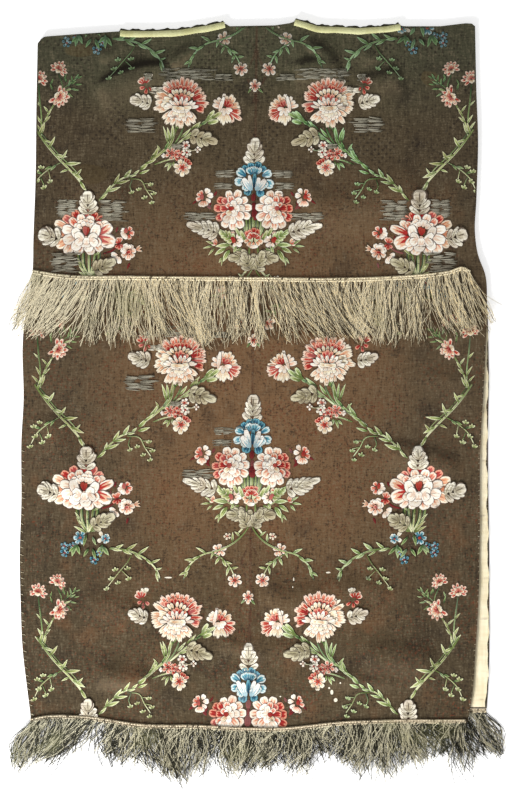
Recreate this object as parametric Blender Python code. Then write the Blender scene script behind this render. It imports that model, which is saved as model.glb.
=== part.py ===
"""Torah mantle of brocaded silk, lying flat on its back.

A sleeve of two cloth panels, joined along the top and the left side and open down the right side.
The back panel lies on the surface with its cream lining up, and the front panel lies on the lining.
Two curved stave openings at the top edge are bound with yellow tape. Metal thread fringe is sewn
across the waist and along both hems. X runs across the mantle, Y up its length to the stave
openings, and Z up from the surface. Tables are in millimetres and the scene is in metres.
"""

import math
from typing import NamedTuple

import bmesh
import bpy
import numpy as np

MM = 0.001

SHARP_ANGLE = math.radians(35)

# Thicknesses of the layers and the clearance between any two pieces.
BACK_THICK = 1.2
LINING_THICK = 1.0
FRONT_THICK = 1.6
TAPE_THICK = 0.8
HEADING_THICK = 1.6
CLEARANCE = 0.3

# Heights of the layers above the surface, each one resting on the one below.
LINING_BASE = BACK_THICK + CLEARANCE
FRONT_BASE = LINING_BASE + LINING_THICK + CLEARANCE
FRONT_FACE = FRONT_BASE + FRONT_THICK
ON_FRONT = FRONT_FACE + CLEARANCE

TAPE_WIDTH = 6.0
HEADING_WIDTH = 5.0
HEM_COVER = 4.0
BACK_INSET = 1.5
LINING_INSET = 1.5
BACK_LIP = 2.4
BACK_HEM = -364.0
# The side edges end here and the corners of the top edge begin.
SHOULDER = 400.0

PANEL_COLUMNS = 26
COLUMN_SPACE = 5.0
# Rows of the front panel's grid, each row (share of its height, rows up to there from the last one).
PANEL_ROWS = [(0.032, 2), (0.529, 18), (0.674, 3), (0.990, 16), (1.0, 1)]


class Fold(NamedTuple):
    """A soft crease in the front panel: a ridge along a bowed line, with unlike slopes on its two sides."""

    start: tuple
    end: tuple
    bow: float
    height: float
    slope_above: float
    slope_below: float


class Lock(NamedTuple):
    """One station of a fringe: where its root is, how far its tip leans, and how far the tip drops."""

    root: float
    lean: float
    drop: float


# Side edges, each row (height up the mantle, place across it).
LEFT_EDGE = [
    (-375, -263.5), (-343, -267.5), (-296, -273), (-237.5, -275.5), (-190, -276.5),
    (-120, -274.5), (-50, -274.5), (-3.5, -272), (61, -273), (78.5, -272),
    (113.5, -266), (146, -261.5), (184, -260.5), (254, -258), (336, -257), (413, -255.5),
]
RIGHT_EDGE = [
    (-376, 247.5), (-349, 252), (-296, 256), (-237.5, 259.5), (-155.5, 261),
    (-62, 261.5), (17.5, 266), (72.5, 268.5), (113.5, 269.5), (142.5, 267.5),
    (166, 259), (189.5, 255.5), (230.5, 257), (300.5, 259), (359, 257), (433, 255.5),
]
# The back panel shows beyond the front one down the open right side.
BACK_RIGHT_EDGE = [
    (-364, 269.5), (-343, 271), (-296, 272.5), (-240, 272.5), (-208, 272.5), (-155.5, 272),
    (-83, 271), (-38.5, 271), (17.5, 272), (78.5, 271), (118, 269.5), (142.5, 266.5),
    (166, 258), (189.5, 254.5), (230.5, 256), (300.5, 258), (359, 256), (432, 254.5),
]

# Top edge from left to right, each row (place across, height). The two dips are the stave openings.
TOP_EDGE = [
    (-255.5, 413), (-253.5, 416.5), (-247.5, 421), (-206.5, 424), (-162, 427),
    (-159, 427), (-152.5, 426.5), (-123.5, 426), (-89.5, 427.5), (-55.5, 433), (-37, 437),
    (-32, 433), (-7.5, 433.5), (21.5, 434), (41.5, 437),
    (45, 440), (51, 438), (73, 431.5), (92, 431), (119, 429.5), (150.5, 431.5), (168, 434.5),
    (171.5, 433), (214.5, 433), (244, 436.5), (253.5, 436), (255.5, 433),
]
STAVE_OPENINGS = {"stave_tape_left": (-159, -37), "stave_tape_right": (45, 168)}

# Upper lines of the fringe headings, each row (place across, height).
WAIST_LINE = [
    (-261.5, 148.5), (-230, 143.5), (-148, 141.5), (-66, 140.5), (-2, 140), (86, 139),
    (156, 141), (203, 144.5), (226.5, 148), (241.5, 152), (250, 147.5),
]
HEM_LINE = [
    (-264, -375.5), (-247.5, -372), (-230, -371), (-195, -373), (-136.5, -381.5), (-66, -383),
    (-7.5, -386), (27.5, -386), (97.5, -379), (168, -376.5), (214.5, -376.5), (245, -376.5),
]
BACK_HEM_LINE = [(-262, BACK_HEM - CLEARANCE), (0, BACK_HEM - CLEARANCE), (269, BACK_HEM - CLEARANCE)]

# How the fringes hang, swept aside and clotted as the old thread is.
WAIST_LOCKS = [
    Lock(-259, -31.5, 46), Lock(-241.5, -33, 61), Lock(-218, -29, 60), Lock(-202, -21, 63),
    Lock(-192.5, -12, 67), Lock(-177, -3.5, 70), Lock(-154, 0, 70), Lock(-130.5, 4.5, 70),
    Lock(-113, 14, 69), Lock(-95.5, 17.5, 71), Lock(-78, 14, 75), Lock(-60, 7, 74),
    Lock(-48.5, 4.5, 62), Lock(-37, 3.5, 70), Lock(-19.5, 3.5, 71), Lock(-2, 6, 71),
    Lock(16, 15, 63), Lock(39, 16.5, 67), Lock(62.5, 16.5, 68), Lock(86, 13, 69),
    Lock(121, 7, 67), Lock(156, 2.5, 69), Lock(191.5, 1, 71), Lock(203, 6, 63),
    Lock(220.5, 7, 65), Lock(234.5, 8, 68), Lock(248, 13, 56),
]
HEM_LOCKS = [
    Lock(-261.5, -25.5, 47), Lock(-247.5, -16.5, 51), Lock(-230, -11.5, 54), Lock(-212.5, -11.5, 49),
    Lock(-195, -10.5, 43), Lock(-183, -6, 32), Lock(-169, -4.5, 39), Lock(-148, -2.5, 40),
    Lock(-130.5, 3.5, 44), Lock(-119, 7, 51), Lock(-101, 8, 54), Lock(-83.5, 7, 55),
    Lock(-66, 4.5, 54), Lock(-57, 2, 52), Lock(-48.5, 1, 26), Lock(-38, 1, 33),
    Lock(-28.5, 0, 51), Lock(-7.5, 0, 42), Lock(16, 0, 42), Lock(39, 2.5, 44), Lock(57, 2.5, 51),
    Lock(65, 1.5, 30), Lock(80, 0, 24), Lock(95.5, -1, 38), Lock(115, -2.5, 51), Lock(138.5, -1, 55),
    Lock(156, 1, 49), Lock(173.5, 3.5, 44), Lock(197, 3.5, 26), Lock(214.5, 3.5, 24),
    Lock(232, 4.5, 42), Lock(244, 8, 40),
]
BACK_LOCKS = [
    Lock(-262, -8, 50), Lock(-200, -2, 52), Lock(-100, 1, 54), Lock(0, 0, 52), Lock(100, 0, 52),
    Lock(180, 2, 52), Lock(220, 5, 52), Lock(245, 12, 46), Lock(258, 20, 40), Lock(268, 26, 34),
]

# Width of a lock at its root and its tip as shares of the locks' spacing, how its thickness shrinks
# towards its tip, and how strongly its sweep grows towards its tip.
ROOT_SHARE = 0.72
TIP_SHARE = 0.46
TIP_THINNING = 0.25
SWEEP_POWER = 1.3
# Unevenness of the locks' lengths, each row (share of the length, turn per lock, start of the turn).
UNEVEN = [(0.05, 2.4, 0.0), (0.04, 5.1, 1.0)]

# The main creases of the front panel as it lies.
FOLDS = [
    Fold((-187, 359), (-101, 385), 9, 3.2, 6, 30),
    Fold((41, 386), (98, 390), 2, 2.8, 6, 24),
    Fold((55, 426), (92, 387), 0, 2.4, 8, 10),
    Fold((-71, 420), (-99, 385), 0, 2.2, 9, 9),
    Fold((118, 361), (169, 377), 4, 2.2, 7, 20),
    Fold((-215, 250), (-150, 228), 8, 2.0, 22, 26),
    Fold((60, 220), (190, 250), -6, 2.0, 22, 26),
    Fold((-240, -20), (-225, -120), 6, 1.8, 16, 18),
    Fold((150, -60), (236, -84), 4, 2.2, 12, 22),
    Fold((-70, -90), (40, -104), 8, 1.8, 22, 26),
    Fold((139, -296), (221, -309), 4, 3.0, 12, 22),
    Fold((-136, -317), (-48, -326), -4, 2.8, 12, 20),
    Fold((10, -236), (120, -222), -5, 2.0, 18, 24),
]
FOLD_MARGIN = 22.0
FOLD_FADE = (1.4, 0.3)
WAIST_FLAT = (40.0, 175.0)
HEM_FLAT = -352.0
TOP_FLAT = 9.0


def smooth(table, at):
    """Values at the given places of a smooth curve through the table's rows (place, value)."""
    place, value = np.array(table, float).T
    slope = np.gradient(value, place)
    i = np.clip(np.searchsorted(place, at) - 1, 0, len(place) - 2)
    step = place[i + 1] - place[i]
    t = np.clip((at - place[i]) / step, 0, 1)
    rise = t * t * (3 - 2 * t)
    leaving = slope[i] * step * t * (1 - t) ** 2
    arriving = slope[i + 1] * step * t * t * (1 - t)
    return value[i] * (1 - rise) + value[i + 1] * rise + leaving - arriving


def ramp(t):
    """Zero below 0, one above 1, and a soft slope between."""
    t = np.clip(t, 0, 1)
    return t * t * (3 - 2 * t)


def top_height(x):
    """Height of the top edge, whose corners stay sharp."""
    place, value = np.array(TOP_EDGE, float).T
    return np.interp(x, place, value)


def fold_lift(x, y):
    """How far the creases raise the front panel there. It lies flat at its edges and under the fringes."""
    lift = np.zeros_like(x)
    for fold in FOLDS:
        start, end = np.array(fold.start, float), np.array(fold.end, float)
        length = np.hypot(*(end - start))
        along, across = (end - start) / length, np.array([start[1] - end[1], end[0] - start[0]]) / length
        along_at = ((x - start[0]) * along[0] + (y - start[1]) * along[1]) / length
        middle = 1 - (2 * along_at - 1) ** 2
        off = (x - start[0]) * across[0] + (y - start[1]) * across[1] - fold.bow * middle
        slope = np.where(off > 0, fold.slope_above, fold.slope_below)
        fade = ramp(FOLD_FADE[0] * middle + FOLD_FADE[1])
        lift = np.maximum(lift, fold.height * np.exp(-((off / slope) ** 2)) * fade)
    waist = ramp((y - WAIST_FLAT[1]) / FOLD_MARGIN) + ramp((WAIST_FLAT[0] - y) / FOLD_MARGIN)
    hem = ramp((y - HEM_FLAT) / FOLD_MARGIN)
    top = ramp((top_height(x) - TOP_FLAT - y) / FOLD_MARGIN)
    sides = ramp((x - smooth(LEFT_EDGE, y)) / FOLD_MARGIN) * ramp((smooth(RIGHT_EDGE, y) - x) / FOLD_MARGIN)
    return lift * waist * hem * top * sides


def material(name, colour, roughness, metallic=0.0):
    """A plain finish in the piece's own colour."""
    made = bpy.data.materials.new(name)
    made.use_nodes = True
    shader = made.node_tree.nodes["Principled BSDF"]
    shader.inputs["Base Color"].default_value = (*colour, 1.0)
    shader.inputs["Roughness"].default_value = roughness
    shader.inputs["Metallic"].default_value = metallic
    return made


def node(name, points, faces, finish):
    """An object of the given points, in millimetres, and faces, with its faces turned outwards."""
    mesh = bpy.data.meshes.new(name)
    mesh.from_pydata((np.array(points, float) * MM).tolist(), [], faces)
    shape = bmesh.new()
    shape.from_mesh(mesh)
    bmesh.ops.recalc_face_normals(shape, faces=shape.faces)
    shape.to_mesh(mesh)
    shape.free()
    mesh.materials.append(finish)
    mesh.shade_smooth()
    mesh.set_sharp_from_angle(angle=SHARP_ANGLE)
    made = bpy.data.objects.new(name, mesh)
    bpy.context.scene.collection.objects.link(made)
    return made


def quilt(rows, columns):
    """Faces of a closed sheet whose points are two grids, the lower one first."""
    size = rows * columns
    faces = []
    for row in range(rows - 1):
        for column in range(columns - 1):
            a = row * columns + column
            faces.append((a, a + columns, a + columns + 1, a + 1))
            faces.append((size + a, size + a + 1, size + a + columns + 1, size + a + columns))
    rim = [column for column in range(columns)]
    rim += [row * columns + columns - 1 for row in range(1, rows)]
    rim += [(rows - 1) * columns + column for column in range(columns - 2, -1, -1)]
    rim += [row * columns for row in range(rows - 2, 0, -1)]
    for a, b in zip(rim, rim[1:] + rim[:1]):
        faces.append((a, b, size + b, size + a))
    return faces


def front_panel(finish):
    """The front cloth: one sheet between its side edges, top edge and hem, raised along its creases."""
    top_left, top_right = TOP_EDGE[0][0], TOP_EDGE[-1][0]
    places = np.linspace(top_left, top_right, PANEL_COLUMNS)
    corners = [x for x, _ in TOP_EDGE]
    spare = [x for x in places if min(abs(x - corner) for corner in corners) > COLUMN_SPACE]
    across = (np.array(sorted(corners + spare)) - top_left) / (top_right - top_left)
    stops = np.array([0.0] + [stop for stop, _ in PANEL_ROWS])
    rows = np.cumsum([0] + [count for _, count in PANEL_ROWS])
    up = np.interp(np.arange(rows[-1] + 1), rows, stops)
    share, height = np.meshgrid(across, up)
    hem_left, hem_right = HEM_LINE[0][0], HEM_LINE[-1][0]
    hem_x = hem_left + share * (hem_right - hem_left)
    low = smooth(HEM_LINE, hem_x) - HEM_COVER
    high = top_height(top_left + share * (top_right - top_left))
    y = low + height * (high - low)
    left, right = smooth(LEFT_EDGE, y), smooth(RIGHT_EDGE, y)
    x = left + share * (right - left)
    z = FRONT_BASE + fold_lift(x, y)
    lower = np.stack([x, y, z], axis=-1).reshape(-1, 3)
    upper = lower + (0, 0, FRONT_THICK)
    return node("front_panel", np.vstack([lower, upper]), quilt(*x.shape), finish)


def flat_sheet(name, outline, base, thick, finish):
    """A flat cloth with this outline, lying at the given height."""
    count = len(outline)
    lower = [(x, y, base) for x, y in outline]
    upper = [(x, y, base + thick) for x, y in outline]
    faces = [tuple(range(count)), tuple(range(2 * count - 1, count - 1, -1))]
    faces += [(i, (i + 1) % count, count + (i + 1) % count, count + i) for i in range(count)]
    return node(name, lower + upper, faces, finish)


def back_outline(inset, lip):
    """The back panel's outline, drawn in by an inset, and standing out by a lip at the stave openings."""
    left = [(x + BACK_INSET + inset, y) for y, x in LEFT_EDGE if BACK_HEM < y < SHOULDER]
    right = [(x - inset, y) for y, x in BACK_RIGHT_EDGE if BACK_HEM < y < SHOULDER]
    top = []
    for x, y in TOP_EDGE[2:-2]:
        in_opening = any(low <= x <= high for low, high in STAVE_OPENINGS.values())
        top.append((x, y + lip if in_opening else y - BACK_INSET - inset))
    first, last = TOP_EDGE[0], TOP_EDGE[-1]
    hem_left = (left[0][0], BACK_HEM + inset)
    hem_right = (BACK_RIGHT_EDGE[0][1] - inset, BACK_HEM + inset)
    shoulder_left = (first[0] + BACK_INSET + inset, first[1] - BACK_INSET - inset)
    shoulder_right = (last[0] - BACK_INSET - inset, last[1] - BACK_INSET - inset)
    return [hem_left, *left, shoulder_left, *top, shoulder_right, *right[::-1], hem_right]


def stave_tape(name, ends, finish):
    """Yellow tape bound over the cut edge of a stave opening: a band on the face, turned down over the edge."""
    low, high = ends
    line = np.array([(x, y) for x, y in TOP_EDGE if low <= x <= high], float)
    run = np.gradient(line, axis=0)
    out = np.stack([-run[:, 1], run[:, 0]], axis=1) / np.hypot(run[:, 0], run[:, 1])[:, None]
    edge, outside = CLEARANCE, CLEARANCE + TAPE_THICK
    foot, face, crown = FRONT_BASE, ON_FRONT, ON_FRONT + TAPE_THICK
    section = [
        (-TAPE_WIDTH, face), (edge, face), (edge, foot), (outside, foot), (outside, crown), (-TAPE_WIDTH, crown),
    ]
    points, faces, corners = [], [], len(section)
    for place, away in zip(line, out):
        points += [(*(place + away * off), height) for off, height in section]
    for ring in range(len(line) - 1):
        for i in range(corners):
            a, b = ring * corners + i, ring * corners + (i + 1) % corners
            faces.append((a, b, b + corners, a + corners))
    faces.append(tuple(range(corners)))
    faces.append(tuple(range((len(line) - 1) * corners, len(line) * corners)))
    return node(name, points, faces, finish)


def fringe(name, line, locks, count, base, steps, fall, finish):
    """A fringe in one piece: a heading band along its line, and locks that hang from the band's lower side.

    The fall lists how high the locks lie above the base at their root, at each step and at their tip.
    """
    table = np.array(locks, float)
    first, last = line[0][0], line[-1][0]
    pitch = (last - first) / count
    root_width, tip_width = ROOT_SHARE * pitch, TIP_SHARE * pitch
    thick = HEADING_THICK
    points, faces, band = [], [], []

    def band_ring(x):
        """The four corners of the heading at a place across the mantle."""
        high = float(smooth(line, np.array(x)))
        low = high - HEADING_WIDTH
        band.append(len(points))
        points.extend([(x, high, base), (x, high, base + thick), (x, low, base + thick), (x, low, base)])

    band_ring(first)
    for i in range(count):
        centre = first + (i + 0.5) * pitch
        band_ring(centre - root_width / 2)
        band_ring(centre + root_width / 2)
    band_ring(last)
    for k, (a, b) in enumerate(zip(band, band[1:])):
        faces.append((a, b, b + 1, a + 1))
        faces.append((a + 1, b + 1, b + 2, a + 2))
        faces.append((a, a + 3, b + 3, b))
        if k % 2 == 0:
            faces.append((a + 3, a + 2, b + 2, b + 3))
    faces.append((band[0], band[0] + 1, band[0] + 2, band[0] + 3))
    faces.append((band[-1], band[-1] + 3, band[-1] + 2, band[-1] + 1))

    for i in range(count):
        centre = first + (i + 0.5) * pitch
        lean = np.interp(centre, table[:, 0], table[:, 1])
        uneven = 1.0 + sum(share * math.sin(turn * i + start) for share, turn, start in UNEVEN)
        drop = uneven * np.interp(centre, table[:, 0], table[:, 2])
        left, right = band[2 * i + 1], band[2 * i + 2]
        ring = (left + 3, right + 3, right + 2, left + 2)
        root = float(smooth(line, np.array(centre))) - HEADING_WIDTH
        for step in range(1, steps + 1):
            t = step / steps
            half = (root_width + (tip_width - root_width) * t) / 2
            x, y = centre + lean * t**SWEEP_POWER, root - drop * t
            low = base + fall[step]
            high = low + thick * (1 - TIP_THINNING * t)
            at = len(points)
            points.extend([(x - half, y, low), (x + half, y, low), (x + half, y, high), (x - half, y, high)])
            tip = (at, at + 1, at + 2, at + 3)
            for a, b in ((0, 1), (1, 2), (2, 3), (3, 0)):
                faces.append((ring[a], ring[b], tip[b], tip[a]))
            ring = tip
        faces.append(ring)
    return node(name, points, faces, finish)


def main():
    """Clears the scene and builds the mantle's pieces."""
    for old in list(bpy.data.objects):
        bpy.data.objects.remove(old)
    brocade = material("brown_brocade", (0.085, 0.055, 0.036), 0.55)
    cream = material("cream_lining", (0.74, 0.62, 0.40), 0.8)
    yellow = material("yellow_tape", (0.70, 0.62, 0.26), 0.6)
    gilt = material("metal_thread", (0.42, 0.36, 0.25), 0.45, 0.35)

    flat_sheet("back_panel", back_outline(0.0, BACK_LIP), 0.0, BACK_THICK, brocade)
    flat_sheet("back_lining", back_outline(LINING_INSET, -2.0), LINING_BASE, LINING_THICK, cream)
    front_panel(brocade)
    for name, ends in STAVE_OPENINGS.items():
        stave_tape(name, ends, yellow)
    fringe("waist_fringe", WAIST_LINE, WAIST_LOCKS, 90, ON_FRONT, 3, (0, 0, 0, 0), gilt)
    fringe("hem_fringe", HEM_LINE, HEM_LOCKS, 88, ON_FRONT, 3, (0, -1.2, -2.5, -2.8), gilt)
    fringe("back_hem_fringe", BACK_HEM_LINE, BACK_LOCKS, 72, 0.0, 2, (0, 0, 0), gilt)


main()
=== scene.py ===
"""Looks of the torah mantle that lies flat on its back: cloths, brocaded flowers, tape and metal fringe.

The mantle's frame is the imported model's: X across, Y up towards the stave openings, Z up from the
surface. Tables are in millimetres or in cords of the weaver's chart, and meshes are in metres.
"""

import logging
from dataclasses import dataclass, field
from enum import Enum
from math import cos, pi, radians, sin, tau
from typing import NamedTuple, Sequence

import bpy
import numpy as np
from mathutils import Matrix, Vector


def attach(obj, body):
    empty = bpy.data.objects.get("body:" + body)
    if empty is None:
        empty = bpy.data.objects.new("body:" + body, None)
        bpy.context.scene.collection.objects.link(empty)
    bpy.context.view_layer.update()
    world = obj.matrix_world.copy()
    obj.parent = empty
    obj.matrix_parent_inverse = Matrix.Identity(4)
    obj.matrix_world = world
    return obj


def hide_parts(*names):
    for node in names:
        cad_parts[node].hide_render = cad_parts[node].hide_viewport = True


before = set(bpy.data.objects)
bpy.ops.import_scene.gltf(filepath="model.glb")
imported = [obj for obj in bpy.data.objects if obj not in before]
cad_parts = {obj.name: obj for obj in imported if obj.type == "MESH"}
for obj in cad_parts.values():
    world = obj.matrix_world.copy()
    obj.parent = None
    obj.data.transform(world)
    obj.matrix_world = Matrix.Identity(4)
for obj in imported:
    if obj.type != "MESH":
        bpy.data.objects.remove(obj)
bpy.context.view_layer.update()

log = logging.getLogger("mantle")

Array, Material, Object = np.ndarray, bpy.types.Material, bpy.types.Object
Colour = tuple[float, float, float]
Pair = tuple[float, float]
Table = Sequence[Pair]
Rows = Sequence[tuple[float, float, float, float, float]]
# What a value meets in an expression.
Number = "Value | float"
# Ovals on the cloth, each (middle across, middle up, half width, half height), in millimetres.
Spots = tuple[tuple[float, float, float, float], ...]
# A mesh's faces: arrays of point numbers, each with one number of corners.
Faces = list[Array]

MM = 0.001
# One square of the weaver's chart, across and up, in millimetres.
CORD = 1.17

# Layers of the mantle above the surface, in millimetres.
BACK_TOP = 1.2
LINING_BASE, LINING_TOP = 1.5, 2.3
FRONT_BASE, FRONT_TOP = 3.1, 4.4
FRINGE_BASE = 4.7

# Side edges of the front panel, each row (height up the mantle, place across it).
LEFT_EDGE = [
    (-375, -263.5), (-343, -267.5), (-296, -273), (-237.5, -275.5), (-190, -276.5),
    (-120, -274.5), (-50, -274.5), (-3.5, -272), (61, -273), (78.5, -272),
    (113.5, -266), (146, -261.5), (184, -260.5), (254, -258), (336, -257), (413, -255.5),
]
RIGHT_EDGE = [
    (-376, 247.5), (-349, 252), (-296, 256), (-237.5, 259.5), (-155.5, 261),
    (-62, 261.5), (17.5, 266), (72.5, 268.5), (113.5, 269.5), (142.5, 267.5),
    (166, 259), (189.5, 255.5), (230.5, 257), (300.5, 259), (359, 257), (433, 255.5),
]
BACK_RIGHT_EDGE = [
    (-364, 269.5), (-343, 271), (-296, 272.5), (-240, 272.5), (-208, 272.5), (-155.5, 272),
    (-83, 271), (-38.5, 271), (17.5, 272), (78.5, 271), (118, 269.5), (142.5, 266.5),
    (166, 258), (189.5, 254.5), (230.5, 256), (300.5, 258), (359, 256), (432, 254.5),
]
# Top edge, each row (place across, height); its dips are the stave openings.
TOP_EDGE = [
    (-255.5, 413), (-253.5, 416.5), (-247.5, 421), (-206.5, 424), (-162, 427),
    (-159, 427), (-152.5, 426.5), (-123.5, 426), (-89.5, 427.5), (-55.5, 433), (-37, 437),
    (-32, 433), (-7.5, 433.5), (21.5, 434), (41.5, 437),
    (45, 440), (51, 438), (73, 431.5), (92, 431), (119, 429.5), (150.5, 431.5), (168, 434.5),
    (171.5, 433), (214.5, 433), (244, 436.5), (253.5, 436), (255.5, 433),
]
STAVE_OPENINGS = {"stave_tape_left": (-159.0, -37.0), "stave_tape_right": (45.0, 168.0)}
WAIST_LINE = [
    (-261.5, 148.5), (-230, 143.5), (-148, 141.5), (-66, 140.5), (-2, 140), (86, 139),
    (156, 141), (203, 144.5), (226.5, 148), (241.5, 152), (250, 147.5),
]
HEM_LINE = [
    (-264, -375.5), (-247.5, -372), (-230, -371), (-195, -373), (-136.5, -381.5), (-66, -383),
    (-7.5, -386), (27.5, -386), (97.5, -379), (168, -376.5), (214.5, -376.5), (245, -376.5),
]
BACK_HEM = -364.0
BACK_HEM_LINE = [(x, BACK_HEM - 0.3) for x in (-262, 0, 269)]
HEADING_WIDTH = 5.0
# How far the front cloth reaches down under its hem's heading.
HEM_COVER = 4.0


class Fold(NamedTuple):
    """A crease: a ridge along a bowed line, with unlike slopes above and below it, all in millimetres."""

    start: Pair
    end: Pair
    bow: float
    height: float
    slope_above: float
    slope_below: float


# The main creases, and after them the small ones that only the visible cloth has.
FOLDS = [Fold(*row) for row in (
    ((-187, 359), (-101, 385), 9, 3.2, 6, 30), ((41, 386), (98, 390), 2, 2.8, 6, 24),
    ((55, 426), (92, 387), 0, 2.4, 8, 10), ((-71, 420), (-99, 385), 0, 2.2, 9, 9),
    ((118, 361), (169, 377), 4, 2.2, 7, 20), ((-215, 250), (-150, 228), 8, 2, 22, 26),
    ((60, 220), (190, 250), -6, 2, 22, 26), ((-240, -20), (-225, -120), 6, 1.8, 16, 18),
    ((150, -60), (236, -84), 4, 2.2, 12, 22), ((-70, -90), (40, -104), 8, 1.8, 22, 26),
    ((124, -300), (208, -308), 2, 2, 15, 26), ((-188, -318), (-122, -332), -3, 1.9, 13, 20),
    ((10, -236), (120, -222), -5, 2, 18, 24),
)]
SMALL_FOLDS = [Fold(*row) for row in (
    ((45, 428), (52, 391), 1, 1.2, 5, 7), ((-150, 424), (-185, 395), 3, 1, 8, 12),
    ((112, 425), (140, 392), -3, 1, 7, 12), ((-3, 400), (-8, 180), 2, 0.5, 5, 6),
    ((-4, 40), (-7, -150), -2, 0.5, 3, 4), ((-6, -160), (-10, -350), 2, 0.6, 3, 4),
    ((-83, 312), (-85, 150), 1, 0.4, 3, 6), ((-246, -95), (-249, -200), 1, 0.5, 4, 6),
    ((-200, -240), (-120, -262), 5, 0.9, 12, 16), ((60, -320), (170, -334), -3, 1, 8, 14),
    ((-30, -290), (60, -300), 4, 0.8, 10, 14), ((190, 30), (250, 10), 4, 0.9, 10, 18),
    ((-44, -284), (14, -302), 2, 1.1, 6, 12), ((96, -214), (150, -232), 4, 0.8, 9, 14),
    ((-160, 120), (-60, 132), 3, 0.5, 8, 10),
)]
# How much deeper the visible cloth's creases are, and how softly they end, in millimetres.
FOLD_PROUD = 1.6
FOLD_MARGIN = 22.0
# Marks on the front panel.
WORN_HOLES: Spots = (
    (88, -345, 1.7, 2.9), (92.5, -354, 2.3, 2.3), (85, -340, 1.1, 1.1), (98, -334, 0.9, 1.1),
    (43.5, -213, 0.7, 2.2), (42.5, -222, 0.6, 1.4), (-103, -211, 4.4, 1.1), (84, -205, 2.6, 0.9),
    (28, -350, 1.2, 0.8),
)
STAINS: Spots = ((-205, 405, 18, 7), (-196, 260, 26, 12), (205, 372, 14, 8))
# Where the front cloth lies flat: between heights, below a height, and this far under its top edge.
WAIST_FLAT = (40.0, 175.0)
HEM_FLAT = -352.0
TOP_FLAT = 9.0

# Stations of the fringes, each (root's place across, how far the tip leans, how far it drops).
WAIST_LOCKS = [
    (-261, -26, 56), (-250, -30, 64), (-235, -33, 67), (-215, -38, 67), (-197, -42, 65), (-193, -30, 69),
    (-188, -16, 72), (-172, -9, 74), (-152, 0, 74), (-135, 6, 72), (-120, 13, 69), (-108, 24, 68),
    (-98, 33, 72), (-88, 27, 74), (-75, 15, 75), (-62, 2, 76), (-53, -5, 74), (-48, 0, 60),
    (-40, 4, 73), (-30, 2, 72), (-20, 2, 66), (-8, 4, 73), (4, 6, 74), (12, 16, 65),
    (24, 27, 69), (38, 32, 67), (55, 33, 66), (75, 27, 67), (95, 28, 66), (112, 24, 66),
    (126, -4, 68), (138, -3, 72), (150, 3, 74), (165, 4, 74), (188, 2, 74), (196, 1, 60),
    (202, 16, 66), (212, 22, 69), (226, 21, 71), (240, 20, 71), (248, 23, 60),
]
HEM_LOCKS = [
    (-262, -27, 50), (-250, -24, 54), (-236, -28, 51), (-222, -32, 49), (-208, -38, 46), (-196, -44, 43),
    (-188, -40, 40), (-182, -18, 28), (-176, -8, 27), (-166, -10, 40), (-150, -12, 42), (-140, -6, 42),
    (-132, 8, 46), (-122, 20, 53), (-110, 18, 54), (-100, 2, 56), (-90, -8, 57), (-78, -8, 56),
    (-66, -5, 57), (-59, -5, 50), (-55, -3, 22), (-40, 3, 22), (-35, 3, 45), (-26, -2, 51),
    (-12, -4, 44), (5, -7, 43), (25, -8, 42), (42, -2, 46), (54, 2, 52), (62, 1, 44),
    (67, 2, 20), (83, 2, 20), (92, 3, 38), (104, -3, 40), (118, -8, 50), (134, -6, 57),
    (148, 0, 58), (160, 6, 57), (172, 10, 51), (184, 12, 42), (192, 10, 21), (206, 8, 20),
    (222, 8, 21), (232, 6, 49), (240, 6, 56), (246, 10, 40),
]
# Thin places of the fringes, each (place, reach, share of its threads that is missing).
WAIST_GAPS = (
    (-191, 2.5, 0.7), (-47, 4, 0.8), (-14, 2, 0.4), (9, 3, 0.6), (16, 2, 0.5), (30, 2, 0.5), (121, 4, 0.5),
    (197, 3, 0.7),
)
HEM_GAPS = (
    (-222, 4, 0.45), (-180, 7, 0.7), (-118, 2, 0.4), (-47, 6, 0.85), (76, 9, 0.65), (94, 8, 0.45),
    (204, 13, 0.45), (229, 6, 0.5),
)
BACK_LOCKS = [
    (-262, -8, 50), (-200, -2, 52), (-100, 1, 54), (0, 0, 52), (100, 0, 52), (180, 2, 52), (220, 8, 52),
    (235, 20, 50), (245, 30, 50), (256, 30, 50), (268, 21, 49),
]
# How far across the tips of fringes spread, in millimetres.
TIP_REACH = (-284.0, 284.0)


def smooth(table: Table, at: Array) -> Array:
    """Reads a smooth curve through a table's rows, by cubic pieces that share their slopes.

    Args:
        table: rows of (place, value), in rising order of place.
        at: the places to read.

    Returns:
        The value at each place.
    """
    place, value = np.array(table, float).T
    slope = np.gradient(value, place)
    i = np.clip(np.searchsorted(place, at) - 1, 0, len(place) - 2)
    step = place[i + 1] - place[i]
    t = np.clip((at - place[i]) / step, 0, 1)
    rise = t * t * (3 - 2 * t)
    leaving, arriving = slope[i] * step * t * (1 - t) ** 2, slope[i + 1] * step * t * t * (1 - t)
    return value[i] * (1 - rise) + value[i + 1] * rise + leaving - arriving


def ramp(t: Array) -> Array:
    """Zero below 0, one above 1, and the cubic 3t^2 - 2t^3 between."""
    t = np.clip(t, 0, 1)
    return t * t * (3 - 2 * t)


def straight(table: Table, at: Array) -> Array:
    """Reads straight lines between a table's rows of (place, value)."""
    place, value = np.array(table, float).T
    return np.interp(at, place, value)


def beside(*parts: Array | float) -> Array:
    """Spreads arrays to one shape and stacks them along a new last axis."""
    return np.stack(np.broadcast_arrays(*parts), axis=-1)


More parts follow.
